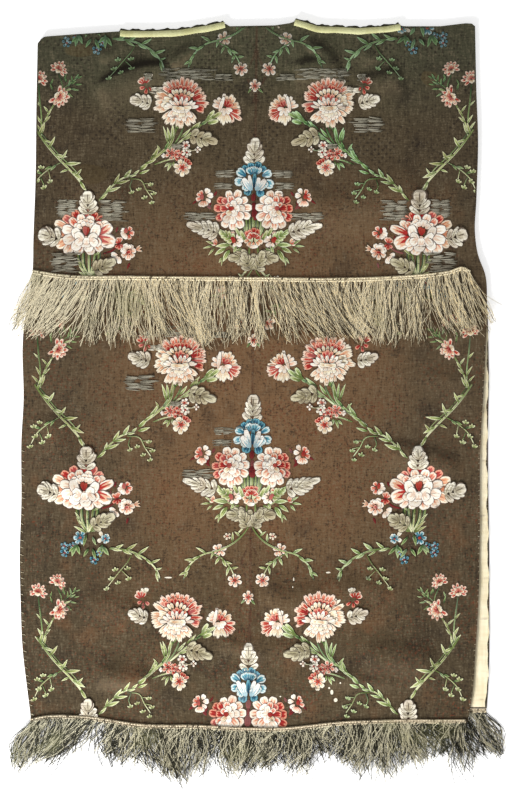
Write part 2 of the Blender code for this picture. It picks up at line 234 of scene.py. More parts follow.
class Value:
    """A node's output as a number in an expression: each operator adds its Math node."""

    def __init__(self, graph: "Graph", socket: bpy.types.NodeSocket) -> None:
        """Wraps one output socket of a graph's node."""
        self.graph, self.socket = graph, socket

    def math(self, operation: str, *others: Number, first: bool = True) -> "Value":
        """Adds a Math node.

        Args:
            operation: the node's operation.
            others: its other values.
            first: whether this value comes first, or last as in 1 - mask.

        Returns:
            The node's result.
        """
        terms = [self, *others] if first else [*others, self]
        return self.graph.node("ShaderNodeMath", {"operation": operation}, dict(enumerate(terms)))["Value"]

    def __add__(self, other: Number) -> "Value":
        """Sum."""
        return self.math("ADD", other)

    def __sub__(self, other: Number) -> "Value":
        """Difference."""
        return self.math("SUBTRACT", other)

    def __rsub__(self, other: float) -> "Value":
        """A number less this value."""
        return self.math("SUBTRACT", other, first=False)

    def __mul__(self, other: Number) -> "Value":
        """Product."""
        return self.math("MULTIPLY", other)

    def __truediv__(self, other: Number) -> "Value":
        """Quotient."""
        return self.math("DIVIDE", other)

    def __abs__(self) -> "Value":
        """Size without sign."""
        return self.math("ABSOLUTE")

    __radd__, __rmul__ = __add__, __mul__

    def larger(self, other: Number) -> "Value":
        """The larger of this and another value."""
        return self.math("MAXIMUM", other)

    def wave(self) -> "Value":
        """The sine of this value, in radians."""
        return self.math("SINE")

    def waves(self, pitch: float) -> "Value":
        """The sine that comes round once in each pitch."""
        return (self * (tau / pitch)).wave()

    def step(self, low: float, high: float) -> "Value":
        """A soft step, which falls if low is above high.

        Args:
            low: where it is 0.
            high: where it is 1.

        Returns:
            The share between them.
        """
        if low > high:
            return 1.0 - self.step(high, low)
        settings = {"interpolation_type": "SMOOTHSTEP", "clamp": True}
        values = {"Value": self, "From Min": low, "From Max": high}
        return self.graph.node("ShaderNodeMapRange", settings, values)["Result"]


class Graph:
    """The node tree of one material, built from expressions."""

    def __init__(self, name: str) -> None:
        """Starts a material whose shader is one Principled BSDF."""
        self.material = bpy.data.materials.new(name)
        self.material.use_nodes = True
        self.tree = self.material.node_tree
        self.shader = self.tree.nodes["Principled BSDF"]
        self.place = self.node("ShaderNodeTexCoord", {}, {})["Object"]
        self.x, self.y, _ = self.parts(self.place)

    def node(self, kind: str, settings: dict[str, object], values: dict[object, object]) -> dict[str, Value]:
        """Adds any node.

        Args:
            kind: the node's type.
            settings: its options, which are set first.
            values: its sockets' numbers, colours or links, by name or by number.

        Returns:
            The node's enabled outputs by name.
        """
        made = self.tree.nodes.new(kind)
        for name, setting in settings.items():
            setattr(made, name, setting)
        for name, value in values.items():
            named = [s for s in made.inputs if s.enabled and s.name == name]
            socket = made.inputs[name] if isinstance(name, int) else named[0]
            if isinstance(value, Value):
                self.tree.links.new(value.socket, socket)
            else:
                socket.default_value = value
        return {s.name: Value(self, s) for s in made.outputs if s.enabled}

    def mix(self, share: Number, first: object, second: object, how: str = "MIX") -> Value:
        """A colour between two colours.

        Args:
            share: 0 for the first and 1 for the second.
            first: a colour or a colour's value.
            second: the same.
            how: the Mix node's blend type.

        Returns:
            The mixed colour.
        """
        settings = {"data_type": "RGBA", "blend_type": how, "clamp_factor": True}
        values = {"Factor": share, "A": self.colour(first), "B": self.colour(second)}
        return self.node("ShaderNodeMix", settings, values)["Result"]

    def colour(self, value: object) -> object:
        """A colour as a socket takes it: three numbers get their alpha, and a Value stays."""
        return (*value, 1.0) if isinstance(value, tuple) and len(value) == 3 else value

    def noise(self, scale: float, detail: float = 2.0, across: float = 1.0, up: float = 1.0) -> Value:
        """Noise over the surface in metres, which can be stretched.

        Args:
            scale: features per metre.
            detail: the noise's octaves.
            across, up: how much finer it is across and up the cloth.

        Returns:
            A value around 0.5.
        """
        stretch = {"Vector": self.place, "Scale": (across, up, 1.0)}
        spread = self.node("ShaderNodeMapping", {}, stretch)["Vector"]
        values = {"Vector": spread, "Scale": scale, "Detail": detail}
        return self.node("ShaderNodeTexNoise", {}, values)["Fac"]

    def spot(self, x: float, y: float, reach: float, rise: float, ragged: float) -> Value:
        """A ragged oval in millimetres: 1 inside, 0 outside.

        Args:
            x, y: its middle.
            reach, rise: its half width and half height.
            ragged: how strongly noise moves its edge.

        Returns:
            The mask.
        """
        across, up = (self.x - x * MM) / (reach * MM), (self.y - y * MM) / (rise * MM)
        wander = (self.noise(0.6 / (reach * MM), 3) - 0.5) * ragged * 2.0
        return (across * across + up * up + wander).step(1.1, 0.7)

    def attribute(self, name: str, output: str = "Color") -> Value:
        """What the piece's own attribute holds."""
        return self.node("ShaderNodeAttribute", {"attribute_name": name}, {})[output]

    def parts(self, vector: Value) -> tuple[Value, Value, Value]:
        """A vector's three numbers."""
        out = self.node("ShaderNodeSeparateXYZ", {}, {"Vector": vector})
        return out["X"], out["Y"], out["Z"]

    def bump(self, height: Value, distance: float) -> Value:
        """A normal for relief of the given height, whose full depth is the distance in metres."""
        values = {"Strength": 1.0, "Distance": distance, "Height": height}
        return self.node("ShaderNodeBump", {}, values)["Normal"]

    def finish(self, links: dict[str, Value], constants: dict[str, float]) -> Material:
        """Feeds the shader.

        Args:
            links: the shader's sockets that vary.
            constants: its sockets with one value.

        Returns:
            The material.
        """
        for name, value in links.items():
            self.tree.links.new(value.socket, self.shader.inputs[name])
        for name, value in constants.items():
            self.shader.inputs[name].default_value = value
        return self.material


@dataclass(frozen=True)
class GroundFinish:
    """Ribbed brown silk: olive and dull near the top, redder below, with dark self-coloured figures."""

    olive: Colour = (0.063, 0.06, 0.032)
    brown: Colour = (0.072, 0.051, 0.026)
    russet: Colour = (0.099, 0.066, 0.033)
    middle: Colour = (0.185, 0.094, 0.041)
    dark: Colour = (0.014, 0.009, 0.006)
    rust: Colour = (0.13, 0.036, 0.014)
    pale: Colour = (0.2, 0.16, 0.1)
    side_shade: Colour = (0.82, 0.83, 0.86)
    foot_shade: Colour = (0.68, 0.71, 0.67)
    warm: Colour = (0.145, 0.068, 0.028)
    scrolls: Colour = (0.05, 0.02, 0.01)
    seam: Colour = (0.06, 0.018, 0.009)
    # Painted highlight on the creases' slopes that face the key light.
    ridge: Colour = (0.165, 0.115, 0.065)
    stain: Colour = (0.105, 0.07, 0.026)
    linen_below: Colour = (0.8, 0.74, 0.6)
    rib: float = 0.0009
    figure: float = 0.0088
    holes: Spots = ()
    stains: Spots = ()
    # Whether to paint shade and highlight on the creases' slopes from the piece's crease attribute.
    slope_shaded: bool = False

    def build(self, name: str) -> Material:
        """Makes the material.

        Args:
            name: its name.

        Returns:
            Its colours by height and noise, cords up the cloth, small lozenges where noise lets them show,
            and painted shade and painted highlight on the creases' slopes where the crease attribute is
            read.
        """
        g = Graph(name)
        drift = (g.noise(7, 3) - 0.5) * 0.22
        up = g.y + drift
        low = up.step(0.3, 0.14)
        heart = abs(g.x + drift).step(0.24, 0.05) * up.step(-0.36, -0.12) * up.step(0.3, 0.08)
        foot = up.step(-0.04, -0.28)
        sides = abs(g.x + drift * 0.5).step(0.1, 0.25)
        high = (g.y + drift * 0.6).step(0.31, 0.415)
        ground = g.mix(low, self.brown, self.russet)
        ground = g.mix(heart * 0.66, ground, self.middle)
        ground = g.mix(high, ground, self.olive)
        ground = g.mix(sides * 0.9, ground, self.side_shade, "MULTIPLY")
        ground = g.mix(foot * 0.9, ground, self.foot_shade, "MULTIPLY")
        patchy = g.noise(24, 4)
        ground = g.mix(patchy.step(0.54, 0.74) * 0.55 * low, ground, self.warm)
        ground = g.mix(patchy.step(0.46, 0.3) * 0.4, ground, self.dark)
        lozenge = (g.x.waves(self.figure) * g.y.waves(self.figure)).step(0.25, 0.75)
        shown = g.noise(26, 2)
        ground = g.mix(lozenge * shown.step(0.48, 0.58) * 0.34 * low, ground, self.rust)
        ground = g.mix(lozenge * shown.step(0.5, 0.6) * 0.65 * (1.0 - low), ground, self.dark)
        from_seam = g.x + (0.0046 - 0.0115 * g.y)
        scroll = abs(abs(from_seam) - (g.y.waves(0.052) * 0.0045 + 0.0062))
        leafy = g.noise(150, 2).step(0.4, 0.52) * g.noise(17, 1).step(0.4, 0.56)
        ground = g.mix(scroll.step(0.0021, 0.0009) * leafy * 0.62, ground, self.scrolls)
        ground = g.mix(abs(from_seam).step(0.0022, 0.0006) * (shown * 0.5 + 0.2), ground, self.seam)
        dots = g.noise(300, 2).step(0.58, 0.66) * g.noise(34, 1).step(0.4, 0.58)
        ground = g.mix(dots * 0.55, ground, self.dark)
        sparks = g.noise(380, 1).step(0.62, 0.7) * g.noise(21, 1).step(0.44, 0.6) * low
        ground = g.mix(sparks * 0.8, ground, self.rust)
        cords = g.noise(520, 2, 1.0, 0.16)
        picks = g.noise(620, 1, 0.16, 1.0)
        light = (cords - 0.5) * 1.5 + (picks - 0.5) * 1.1 + (g.noise(560, 2) - 0.5) * 1.5 + 0.5
        ground = g.mix(light.step(0.5, 1.15) * 0.42, ground, self.pale)
        ground = g.mix(light.step(0.45, -0.15) * 0.72, ground, self.dark)
        # Painted shade on the creases' slopes that face away from the key light, painted highlight on those
        # that face it.
        if self.slope_shaded:
            crease = g.attribute("crease", "Fac")
            ground = g.mix(crease.step(0.43, -0.08) * 0.85, ground, self.dark)
            ground = g.mix(crease.step(0.53, 0.75) * 0.32, ground, self.ridge)
        for x, y, reach, rise in self.stains:
            ground = g.mix(g.spot(x, y, reach, rise, 1.6) * 0.35, ground, self.stain)
        for x, y, reach, rise in self.holes:
            ground = g.mix(g.spot(x, y, reach, rise, 0.9), ground, self.linen_below)
        rib = g.x.waves(self.rib) * 0.25 + cords * 0.8 + picks * 0.6
        rough = (light * 0.2) + 0.55
        return g.finish(
            {"Base Color": ground, "Roughness": rough, "Normal": g.bump(rib, 0.00018)},
            {"Specular IOR Level": 0.14, "Sheen Weight": 0.03, "Sheen Roughness": 0.5},
        )


@dataclass(frozen=True)
class SilkFinish:
    """Brocading threads: each petal shades from heart to edge in teeth of satin, with a pale rim."""

    ink: Colour = (0.12, 0.075, 0.06)
    between_picks: Colour = (0.55, 0.48, 0.42)
    bleached: Colour = (0.95, 0.9, 0.8)
    soiled: Colour = (0.76, 0.7, 0.66)
    ground_below: Colour = (0.13, 0.1, 0.062)
    bared: Colour = (0.075, 0.06, 0.04)
    sea_tint: Colour = (0.45, 0.84, 0.72)
    dulled: Colour = (0.045, 0.055, 0.036)
    rough: float = 0.55
    metal: float = 0.0
    hatch: float = 0.19
    outline: float = 0.92
    veins: float = 0.0
    wear: float = 0.0
    cool: float = 0.0
    sparse: float = 0.0
    teeth: float = 10.0
    pick: float = 0.0011
    inked: float = 0.78

    def build(self, name: str) -> Material:
        """Makes the material.

        Args:
            name: its name.

        Returns:
            Its colours from the piece's attributes heart, blade and rim, placed by the attribute weave.
        """
        g = Graph(name)
        across, along, tone = g.parts(g.attribute("weave", "Vector"))
        heart, side = g.attribute("heart"), abs(across)
        grain = g.noise(700, 2) - 0.5
        tooth = (across * self.teeth + tone * 40.0).wave() * self.hatch
        blade = (along + tooth + grain * 0.25).step(0.4, 0.5)
        colour = g.mix(blade, heart, g.attribute("blade"))
        tip = (along + tooth * 0.5 + grain * 0.15).step(0.72, 0.8)
        edge = (side + grain * 0.2).step(0.5, 0.6).larger(tip)
        colour = g.mix(edge * along.step(0.1, 0.35), colour, g.attribute("rim"))
        line = g.mix(1.0, heart, self.ink, "MULTIPLY")
        rim = (side + grain * 0.12).step(self.inked, self.inked + 0.14).larger(along.step(0.94, 0.985))
        picks = g.y.waves(self.pick) * 0.25 + g.noise(640, 2, 0.12, 1.0)
        worn = (g.noise(240, 3, 0.35, 1.0) + g.noise(12, 2) * 0.35).step(0.8, 0.9)
        dark = (rim * self.outline).larger(worn * 0.75)
        if self.veins:
            midrib = side.step(0.13, 0.05) * along.step(0.75, 0.6)
            dark = dark.larger(midrib * self.veins)
        colour = g.mix(dark, colour, line)
        colour = g.mix(picks.step(0.75, 0.15) * 0.55, colour, self.between_picks, "MULTIPLY")
        colour = g.mix((tone - 0.5).step(0.0, 0.5) * 0.07, colour, self.bleached)
        colour = g.mix((0.5 - tone).step(0.0, 0.5) * 0.8, colour, self.soiled, "MULTIPLY")
        if self.sparse:
            slits = g.noise(500, 1, 1.0, 0.3).step(0.62, 0.7)
            gaps = g.noise(430, 2, 0.14, 1.0).step(0.5, 0.6).larger(slits)
            thin = gaps * (g.noise(30, 2) * 0.8 + 0.4)
            colour = g.mix(thin * self.sparse, colour, self.ground_below)
        if self.wear:
            bare = (tone + grain * 0.8 + (g.noise(60, 2) - 0.5)).step(0.62, 0.22)
            colour = g.mix(bare * self.wear, colour, self.bared)
        if self.cool:
            region = (g.y + (g.noise(9, 2) - 0.5) * 0.2).step(0.18, 0.3) * 0.6 + 0.4
            region = (region * g.x.step(-0.02, 0.07) * g.x.step(0.18, 0.12)).larger(g.y.step(0.33, 0.39))
            colour = g.mix(region * self.cool, colour, self.sea_tint, "MULTIPLY")
        dull = g.y.step(0.31, 0.43) * 0.52
        colour = g.mix(dull, colour, self.dulled)
        rough = picks.step(0.75, 0.15) * 0.12 + self.rough
        return g.finish(
            {"Base Color": colour, "Roughness": rough, "Normal": g.bump(picks * 0.5 - rim, 0.0003)},
            {"Metallic": self.metal, "Specular IOR Level": 0.22},
        )


@dataclass(frozen=True)
class ThreadFinish:
    """Tarnished metal thread wound on a core: paler where its tone is higher, with painted shade in the
    turns of its winding.
    """

    pale: Colour = (1.0, 0.875, 0.6)
    mid: Colour = (0.52, 0.41, 0.235)
    dark: Colour = (0.06, 0.044, 0.024)
    green: Colour = (0.34, 0.34, 0.14)
    left_shade: Colour = (0.7, 0.73, 0.76)
    metal: float = 0.12
    turn: float = 2.1
    tarnish: float = 0.3
    # How dark the painted shade in the turns of the winding is.
    turned: float = 0.3

    def build(self, name: str) -> Material:
        """Makes the material.

        Args:
            name: its name.

        Returns:
            Its colours from the attribute weave: turns along the thread, and a tone for each thread.
        """
        g = Graph(name)
        around, along, tone = g.parts(g.attribute("weave", "Vector"))
        winding = (along * (tau / self.turn) + around * tau + tone * 400.0).wave() * 0.5 + 0.5
        grime = g.noise(150, 3)
        shade = tone + (grime - 0.5) * 0.9
        colour = g.mix(shade.step(0.2, 0.5), self.mid, self.pale)
        colour = g.mix(shade.step(0.4, 0.08) * 0.95, colour, self.dark)
        colour = g.mix(g.noise(16, 2).step(0.55, 0.72) * self.tarnish, colour, self.green)
        # Painted shade in the grooves between the turns of the winding.
        colour = g.mix(winding.step(0.65, 0.0) * self.turned, colour, self.dark)
        colour = g.mix(g.x.step(-0.12, -0.24) * 0.5, colour, self.left_shade, "MULTIPLY")
        return g.finish(
            {"Base Color": colour, "Roughness": grime * 0.3 + 0.35, "Normal": g.bump(winding, 0.0002)},
            {"Metallic": self.metal, "Specular IOR Level": 0.28},
        )


@dataclass(frozen=True)
class PlainWeaveFinish:
    """A plain or ribbed cloth of one colour, with its threads, slubs, creases and stains."""

    light: Colour = (1.0, 0.9, 0.66)
    shade: Colour = (0.84, 0.72, 0.46)
    stain: Colour = (0.3, 0.2, 0.1)
    thread: float = 0.0008
    ribbed: bool = False
    stained: float = 0.5

    def build(self, name: str) -> Material:
        """Makes the material.

        Args:
            name: its name.

        Returns:
            Crossed waves for the threads, long noise for slubs and wide noise for stains.
        """
        g = Graph(name)
        warp = g.x.waves(self.thread)
        weft = g.y.waves(self.thread)
        weave = warp * 0.5 + 0.5 if self.ribbed else warp * weft * 0.5 + 0.5
        slub = g.noise(300, 2, 1.0, 0.12) * 0.5 + g.noise(300, 2, 0.12, 1.0) * 0.5
        patch = g.noise(30, 4)
        colour = g.mix((slub + patch * 0.8 - 0.3).step(0.35, 0.8), self.shade, self.light)
        colour = g.mix((1.0 - weave) * 0.25, colour, self.shade)
        marks = g.noise(55, 4, 0.6, 1.6).step(0.6, 0.74) * self.stained
        colour = g.mix(marks, colour, self.stain)
        return g.finish(
            {"Base Color": colour, "Roughness": slub * 0.2 + 0.65, "Normal": g.bump(weave + slub, 0.0002)},
            {"Specular IOR Level": 0.2, "Sheen Weight": 0.1},
        )


class Shade(Enum):
    """Silks and metals of the brocading, each as the colours of a petal's heart, blade and rim."""

    RED = ((0.28, 0.009, 0.008), (0.44, 0.022, 0.015), (0.8, 0.36, 0.24))
    FLAME = ((0.38, 0.013, 0.01), (0.54, 0.075, 0.04), (0.9, 0.7, 0.54))
    CORAL = ((0.52, 0.05, 0.03), (0.7, 0.24, 0.14), (0.9, 0.72, 0.58))
    PEACH = ((0.64, 0.25, 0.13), (0.82, 0.48, 0.29), (0.94, 0.86, 0.68))
    BLUSH = ((0.72, 0.3, 0.19), (0.91, 0.69, 0.51), (0.97, 0.92, 0.8))
    GLOW = ((0.46, 0.026, 0.02), (0.84, 0.48, 0.31), (0.96, 0.9, 0.77))
    CREAM = ((0.7, 0.46, 0.27), (0.89, 0.79, 0.56), (0.95, 0.9, 0.74))
    WHITE = ((0.82, 0.62, 0.48), (0.95, 0.9, 0.76), (0.98, 0.95, 0.86))
    ICE = ((0.36, 0.55, 0.62), (0.86, 0.89, 0.84), (0.96, 0.95, 0.89))
    EYE = ((0.3, 0.012, 0.01), (0.38, 0.03, 0.018), (0.38, 0.06, 0.03))
    WINE = ((0.12, 0.006, 0.006), (0.17, 0.01, 0.01), (0.2, 0.02, 0.016))
    TEAL = ((0.008, 0.045, 0.085), (0.02, 0.125, 0.205), (0.14, 0.38, 0.46))
    SKY = ((0.02, 0.13, 0.21), (0.14, 0.4, 0.49), (0.7, 0.81, 0.79))
    LIME = ((0.16, 0.22, 0.055), (0.47, 0.53, 0.2), (0.8, 0.82, 0.52))
    LEAF = ((0.045, 0.1, 0.026), (0.17, 0.28, 0.08), (0.43, 0.53, 0.24))
    MOSS = ((0.02, 0.055, 0.014), (0.04, 0.09, 0.022), (0.055, 0.12, 0.03))
    SILVER = ((0.62, 0.57, 0.42), (0.86, 0.81, 0.65), (0.95, 0.91, 0.77))
    TAN = ((0.4, 0.36, 0.21), (0.57, 0.52, 0.34), (0.68, 0.63, 0.44))
    GREY = ((0.22, 0.205, 0.15), (0.31, 0.29, 0.215), (0.36, 0.34, 0.26))


class Outline(Enum):
    """Petal shapes, each (lean, fullness, notch): the half width is sin(pi v^lean)^fullness."""

    ROUND = (1.12, 0.42, 0.0)
    LOBE = (1.25, 0.46, 0.0)
    FAN = (1.45, 0.55, 0.07)
    LEAFLET = (0.8, 1.05, 0.0)
    SPIKE = (1.35, 0.8, 0.1)
    BAR = (1.0, 0.22, 0.0)


# Short names for the charts' silks and petal shapes.
RED, FLAME, CORAL, PEACH, BLUSH, GLOW, CREAM, WHITE, ICE, EYE, WINE, *OTHERS = Shade
TEAL, SKY, LIME, LEAF, MOSS, SILVER, TAN, GREY = OTHERS
ROUND, LOBE, FAN, LEAFLET, SPIKE, BAR = Outline


class Family(Enum):
    """The pieces that the brocading is joined into."""

    ROSES = "rose_brocade"
    CARNATIONS = "carnation_brocade"
    BLUE = "blue_flower_brocade"
    GREEN = "leaf_brocade"
    SILVER = "silver_brocade"
    WEFT = "bare_weft_patches"


@dataclass
class Chart:
    """One figure of the weaver's chart, in cords from its own centre, with y up the cloth."""

    petals: list[tuple] = field(default_factory=list)
    stems: list[tuple] = field(default_factory=list)
    family: Family = Family.ROSES
    level: float = 0.0

    def petal(
        self, x: float, y: float, angle: float, length: float, width: float, shade: Shade,
        outline: Outline = ROUND, bend: float = 0.0,
    ) -> None:
        """Adds a petal.

        Args:
            x, y: its root.
            angle: its direction in degrees.
            length, width: its size.
            shade: its silks.
            outline: its shape.
            bend: how far it turns over its length, in degrees.
        """
        lean, fullness, notch = outline.value
        row = (x, y, angle, length, width, bend, lean, fullness, notch, self.level)
        self.petals.append((row, shade, self.family))
        self.level += 0.01

    def ring(
        self, count: int, start: float, stop: float, centre: Pair, radius: Pair | float,
        length: float, width: float, shade: Shade, outline: Outline = FAN,
    ) -> None:
        """Adds petals along an arc.

        Args:
            count: how many.
            start, stop: the first and the last one's angle in degrees.
            centre: the middle of the arc.
            radius: the arc's, where the roots are, or its half width and half height.
            length, width: a petal's size.
            shade: its silks.
            outline: its shape.
        """
        self.level += 0.012
        half = radius if isinstance(radius, tuple) else (radius, radius)
        for k in range(count):
            angle = start + (stop - start) * (k / max(count - 1, 1))
            turn = radians(angle)
            x, y = centre[0] + half[0] * cos(turn), centre[1] + half[1] * sin(turn)
            uneven = 1.0 + 0.07 * sin(2.3 * k + start)
            self.petal(x, y, angle, length * uneven, width, shade, outline)

    def lobed(
        self, x: float, y: float, angle: float, length: float, width: float, shade: Shade, pairs: int = 3,
    ) -> None:
        """Adds a leaf of paired lobes along a midrib, with one lobe at its tip.

        Args:
            x, y: its root.
            angle: its direction in degrees.
            length, width: its size.
            shade: its silks.
            pairs: how many pairs of lobes.
        """
        turn = radians(angle)
        for k in range(pairs):
            along = 0.04 + 0.6 * k / pairs
            lobe = length * (0.42 + 0.1 * sin(pi * (k + 0.7) / pairs)) * (width / length) ** 0.5
            for side in (-1, 1):
                self.petal(
                    x + length * along * cos(turn), y + length * along * sin(turn),
                    angle + side * (54 - 9 * k), lobe, 1.95 * length / (2 * pairs + 1), shade, LOBE,
                    side * -26,
                )
        self.petal(
            x + 0.5 * length * cos(turn), y + 0.5 * length * sin(turn), angle,
            0.5 * length, 0.58 * width, shade, LOBE,
        )

    def stem(self, points: Table, width: float, shade: Shade = LIME) -> None:
        """Adds a stem of the given width along a smooth line through the points."""
        self.stems.append((tuple(points), width, shade, self.family, self.level))
        self.level += 0.008

    def leaves(self, rows: Rows, shade: Shade) -> None:
        """Adds pointed leaves, each row (root x, root y, angle, length, width)."""
        for x, y, angle, length, width in rows:
            self.petal(x, y, angle, length, width, shade, LEAFLET, 14.0)

    def blobs(self, rows: Rows, shade: Shade) -> None:
        """Adds round petals by their middles, each row (x, y, angle, length, width)."""
        for x, y, angle, length, width in rows:
            turn = radians(angle)
            self.petal(
                x - 0.5 * length * cos(turn), y - 0.5 * length * sin(turn), angle, length,
                1.14 * width, shade,
            )

    def bars(self, x: float, y: float, width: float, height: float, shade: Shade = GREY) -> None:
        """Adds a patch of worn metal picks: level bars whose ends follow two rounded lobes.

        Args:
            x, y: its middle.
            width, height: its size.
            shade: its threads.
        """
        rows = max(3, int(height / 1.2))
        before, self.family = self.family, Family.WEFT
        for k in range(rows):
            up = (k + 0.5) / rows
            lobes = 0.74 + 0.26 * abs(sin(tau * up * 1.1 + x))
            reach = 0.5 * width * (lobes + 0.07 * sin(5.1 * k + y))
            shift = 0.05 * width * sin(3.7 * k + 0.3 * x)
            dashes = max(2, int(2 * reach / 10))
            for j in range(dashes):
                start = -reach + 2 * reach * (j + 0.12 * sin(7.0 * k + 3.0 * j)) / dashes
                long = 2 * reach / dashes * (1.0 + 0.16 * sin(2.9 * j + 1.7 * k))
                level = y + (up - 0.5) * height + 0.12 * sin(4.0 * j + k)
                self.petal(x + start + shift, level, 0, long, 1.3, shade, BAR)
        self.family = before

    def buds(self, rows: Table, shade: Shade, size: float = 3.4) -> None:
        """Adds small buds of three leaflets at each (x, y)."""
        for x, y in rows:
            for turn in (50, 100, 155):
                self.petal(x, y - 0.3 * size, turn + 7 * sin(x), size, 0.55 * size, shade)

    def small_rose(
        self, x: float, y: float, size: float, outer: Shade, inner: Shade, turn: float = 0.0, count: int = 6,
    ) -> None:
        """Adds a small open flower: a ring of petals, a paler inner ring and a red eye.

        Args:
            x, y: its middle.
            size: its width.
            outer, inner: the outer and the inner petals' silks.
            turn: the first petal's angle in degrees.
            count: how many outer petals.
        """
        start = turn + 360 / count
        wide, near, half = 0.3 * size, 0.1 * size, 0.5 * size
        self.ring(count, turn, turn + 360 - 360 / count, (x, y), wide, 0.75 * size, 0.72 * size, outer)
        self.ring(count - 2, start, start + 300, (x, y), near, half, half, inner)
        self.petal(x - 0.22 * size, y, 0, 0.44 * size, 0.42 * size, EYE)


def carnation_chart() -> Chart:
    """The carnation with its side flower, buds, leaves and long stem."""
    c = Chart(family=Family.SILVER)
    c.bars(5, 25, 52, 11)
    c.bars(-40, -26, 30, 14)
    c.bars(42, 22, 20, 6)
    c.bars(-33, 22, 9, 7)
    c.lobed(-30, -5, 163, 22, 17, SILVER)
    c.lobed(10, -36, -14, 28, 15, TAN)
    c.bars(-24, 9, 14, 5, SILVER)
    c.bars(-4, -47, 12, 5)

    c.family, c.level = Family.GREEN, 0.0
    c.stem([(24, -22), (12, -32), (1, -41), (-9, -49)], 2.2)
    c.stem([(-2, -24), (-6, -32), (-10, -44), (-17, -51), (-28, -60), (-41, -69)], 3)
    c.stem([(4, -22), (0, -34), (-8, -46), (-20, -54)], 1.6, LEAF)
    c.stem([(-26, -65), (-15, -61), (-5, -59)], 1.5)
    c.stem([(1, -41), (6, -38), (12, -36)], 1.1, TAN)
    c.leaves([
        (-13, -44, 108, 17, 3), (-11, -42, 100, 15, 3.2), (-9, -40, 82, 16, 3.4), (0, -38, 48, 14, 3.4),
        (10, -30, 40, 14, 3.6), (14, -30, 62, 9, 2.6), (2, -40, 12, 12, 2.4), (-30, -60, 48, 15, 4),
        (-27, -58, 62, 13, 3.4), (-40, -70, 42, 12, 4.6), (-41, -74, 18, 12, 3.4),
        (-35, -64, 30, 12, 3.2), (-20, -52, 118, 9, 2.4), (-9, -63, 250, 9, 3.2), (-7, -62, 285, 8, 3),
        (-11, -63, 225, 7, 2.6),
    ], LIME)
    c.leaves([(-4, -30, 96, 9, 4), (20, -25, 30, 8, 4), (-16, -50, 60, 9, 3)], LEAF)
    for x, y, turn, size in [(24, -22, 30, 15), (27, -24, 20, 11), (26, -19, 45, 11), (31, -19, 36, 11)]:
        c.petal(x, y, turn, size, 0.42 * size, LIME)
    c.petal(-3, -29, 88, 10, 6, LIME)

    c.stem([(-81, -101), (-71, -90), (-58, -79), (-46, -75)], 1.9)
    c.leaves([
        (-80, -100, 42, 10, 3), (-74, -94, 72, 10, 3.4), (-73, -92, 20, 15, 4.4), (-66, -85, 55, 13, 4),
        (-64, -84, 12, 13, 3.6), (-56, -78, 50, 12, 4.2), (-52, -77, 8, 9, 2.6), (-47, -75, 35, 8, 3.2),
    ], LIME)
    c.stem([(-52, -79), (-39, -81), (-34, -90), (-27, -100)], 1.1)
    c.stem([(-48, -80), (-50, -88), (-47, -93)], 0.9, LEAF)
    c.stem([(-37, -84), (-30, -84)], 0.8)
    c.stem([(-34, -90), (-26, -92)], 0.8)
    c.buds([(-48, -93), (-41, -90), (-29, -85), (-26, -94), (-35, -98), (-28, -103)], LIME, 3.6)

    c.family, c.level = Family.CARNATIONS, 0.0
    c.ring(4, 60, 150, (-36, 14), 2, 7, 4.6, FLAME)
    c.ring(3, 200, 320, (-34, 13), 2, 6, 4.2, RED)
    c.ring(3, 60, 130, (-32, 20), 1, 5, 3.6, SILVER)
    c.level = 0.0
    c.ring(4, 128, 158, (-2, 2), (10, 7), 13, 4.2, CREAM, SPIKE)
    c.ring(9, 36, 142, (0.5, 0), (13, 10), 12, 5.6, CORAL)
    c.ring(8, 42, 136, (0.5, 0), (11, 7), 8.5, 5.4, RED)
    c.ring(5, 152, 208, (-1, -3), (9, 5), 17, 6.6, PEACH)
    c.ring(4, 160, 206, (-1, -3), (7, 4), 12, 5.4, CREAM)
    c.ring(5, 4, 40, (1, -1), (11, 6), 14, 4.8, FLAME)
    c.ring(4, -30, -4, (2, -3), (10, 5), 14, 4.8, FLAME)
    c.blobs([(19, -9, -14, 9, 6.5), (17, 2, 18, 9, 5.5)], RED)
    c.ring(8, 213, 325, (-1, -7), (5, 4), 17, 6.4, PEACH)
    c.ring(7, 220, 320, (-1, -7), (4, 3), 12, 5.4, BLUSH)
    c.ring(5, 228, 316, (-1, -7), 2, 9, 4.8, CREAM)
    c.level += 0.05
    c.ring(7, 34, 146, (0, -2), (9, 7), 6.5, 4, CREAM, SPIKE)
    c.ring(5, 40, 140, (0, -5), 3, 8.6, 5, RED)
    c.ring(9, 8, 172, (0, -9), (8, 2.5), 9.5, 3.7, WHITE, SPIKE)
    c.ring(5, 36, 144, (0, -8), (4, 2), 6.5, 3.2, BLUSH, SPIKE)
    c.ring(6, 200, 340, (0, -8), (6, 2), 4.2, 4.6, WHITE)
    c.blobs([(-4.5, -8.6, 172, 9, 4.4), (4.5, -8.6, 8, 9, 4.4), (0, -8.8, 0, 9, 4.6)], CREAM)

    c.level = 0.0
    c.ring(4, 96, 168, (44, -9), 3, 11.5, 4.8, BLUSH)
    c.ring(5, 2, 84, (44, -9), (4, 3), 11.5, 5, PEACH)
    c.ring(4, -58, -4, (45, -10), (4, 3), 12.5, 5.6, FLAME)
    c.ring(5, -122, -66, (44, -10), 3, 12, 4.4, CREAM, SPIKE)
    c.ring(3, 20, 90, (44, -8), 1, 7.5, 4.4, RED)
    c.ring(4, -140, -20, (44, -8), 1, 7.5, 4.6, WHITE)
    c.petal(38, -12, 78, 16, 4, WHITE)

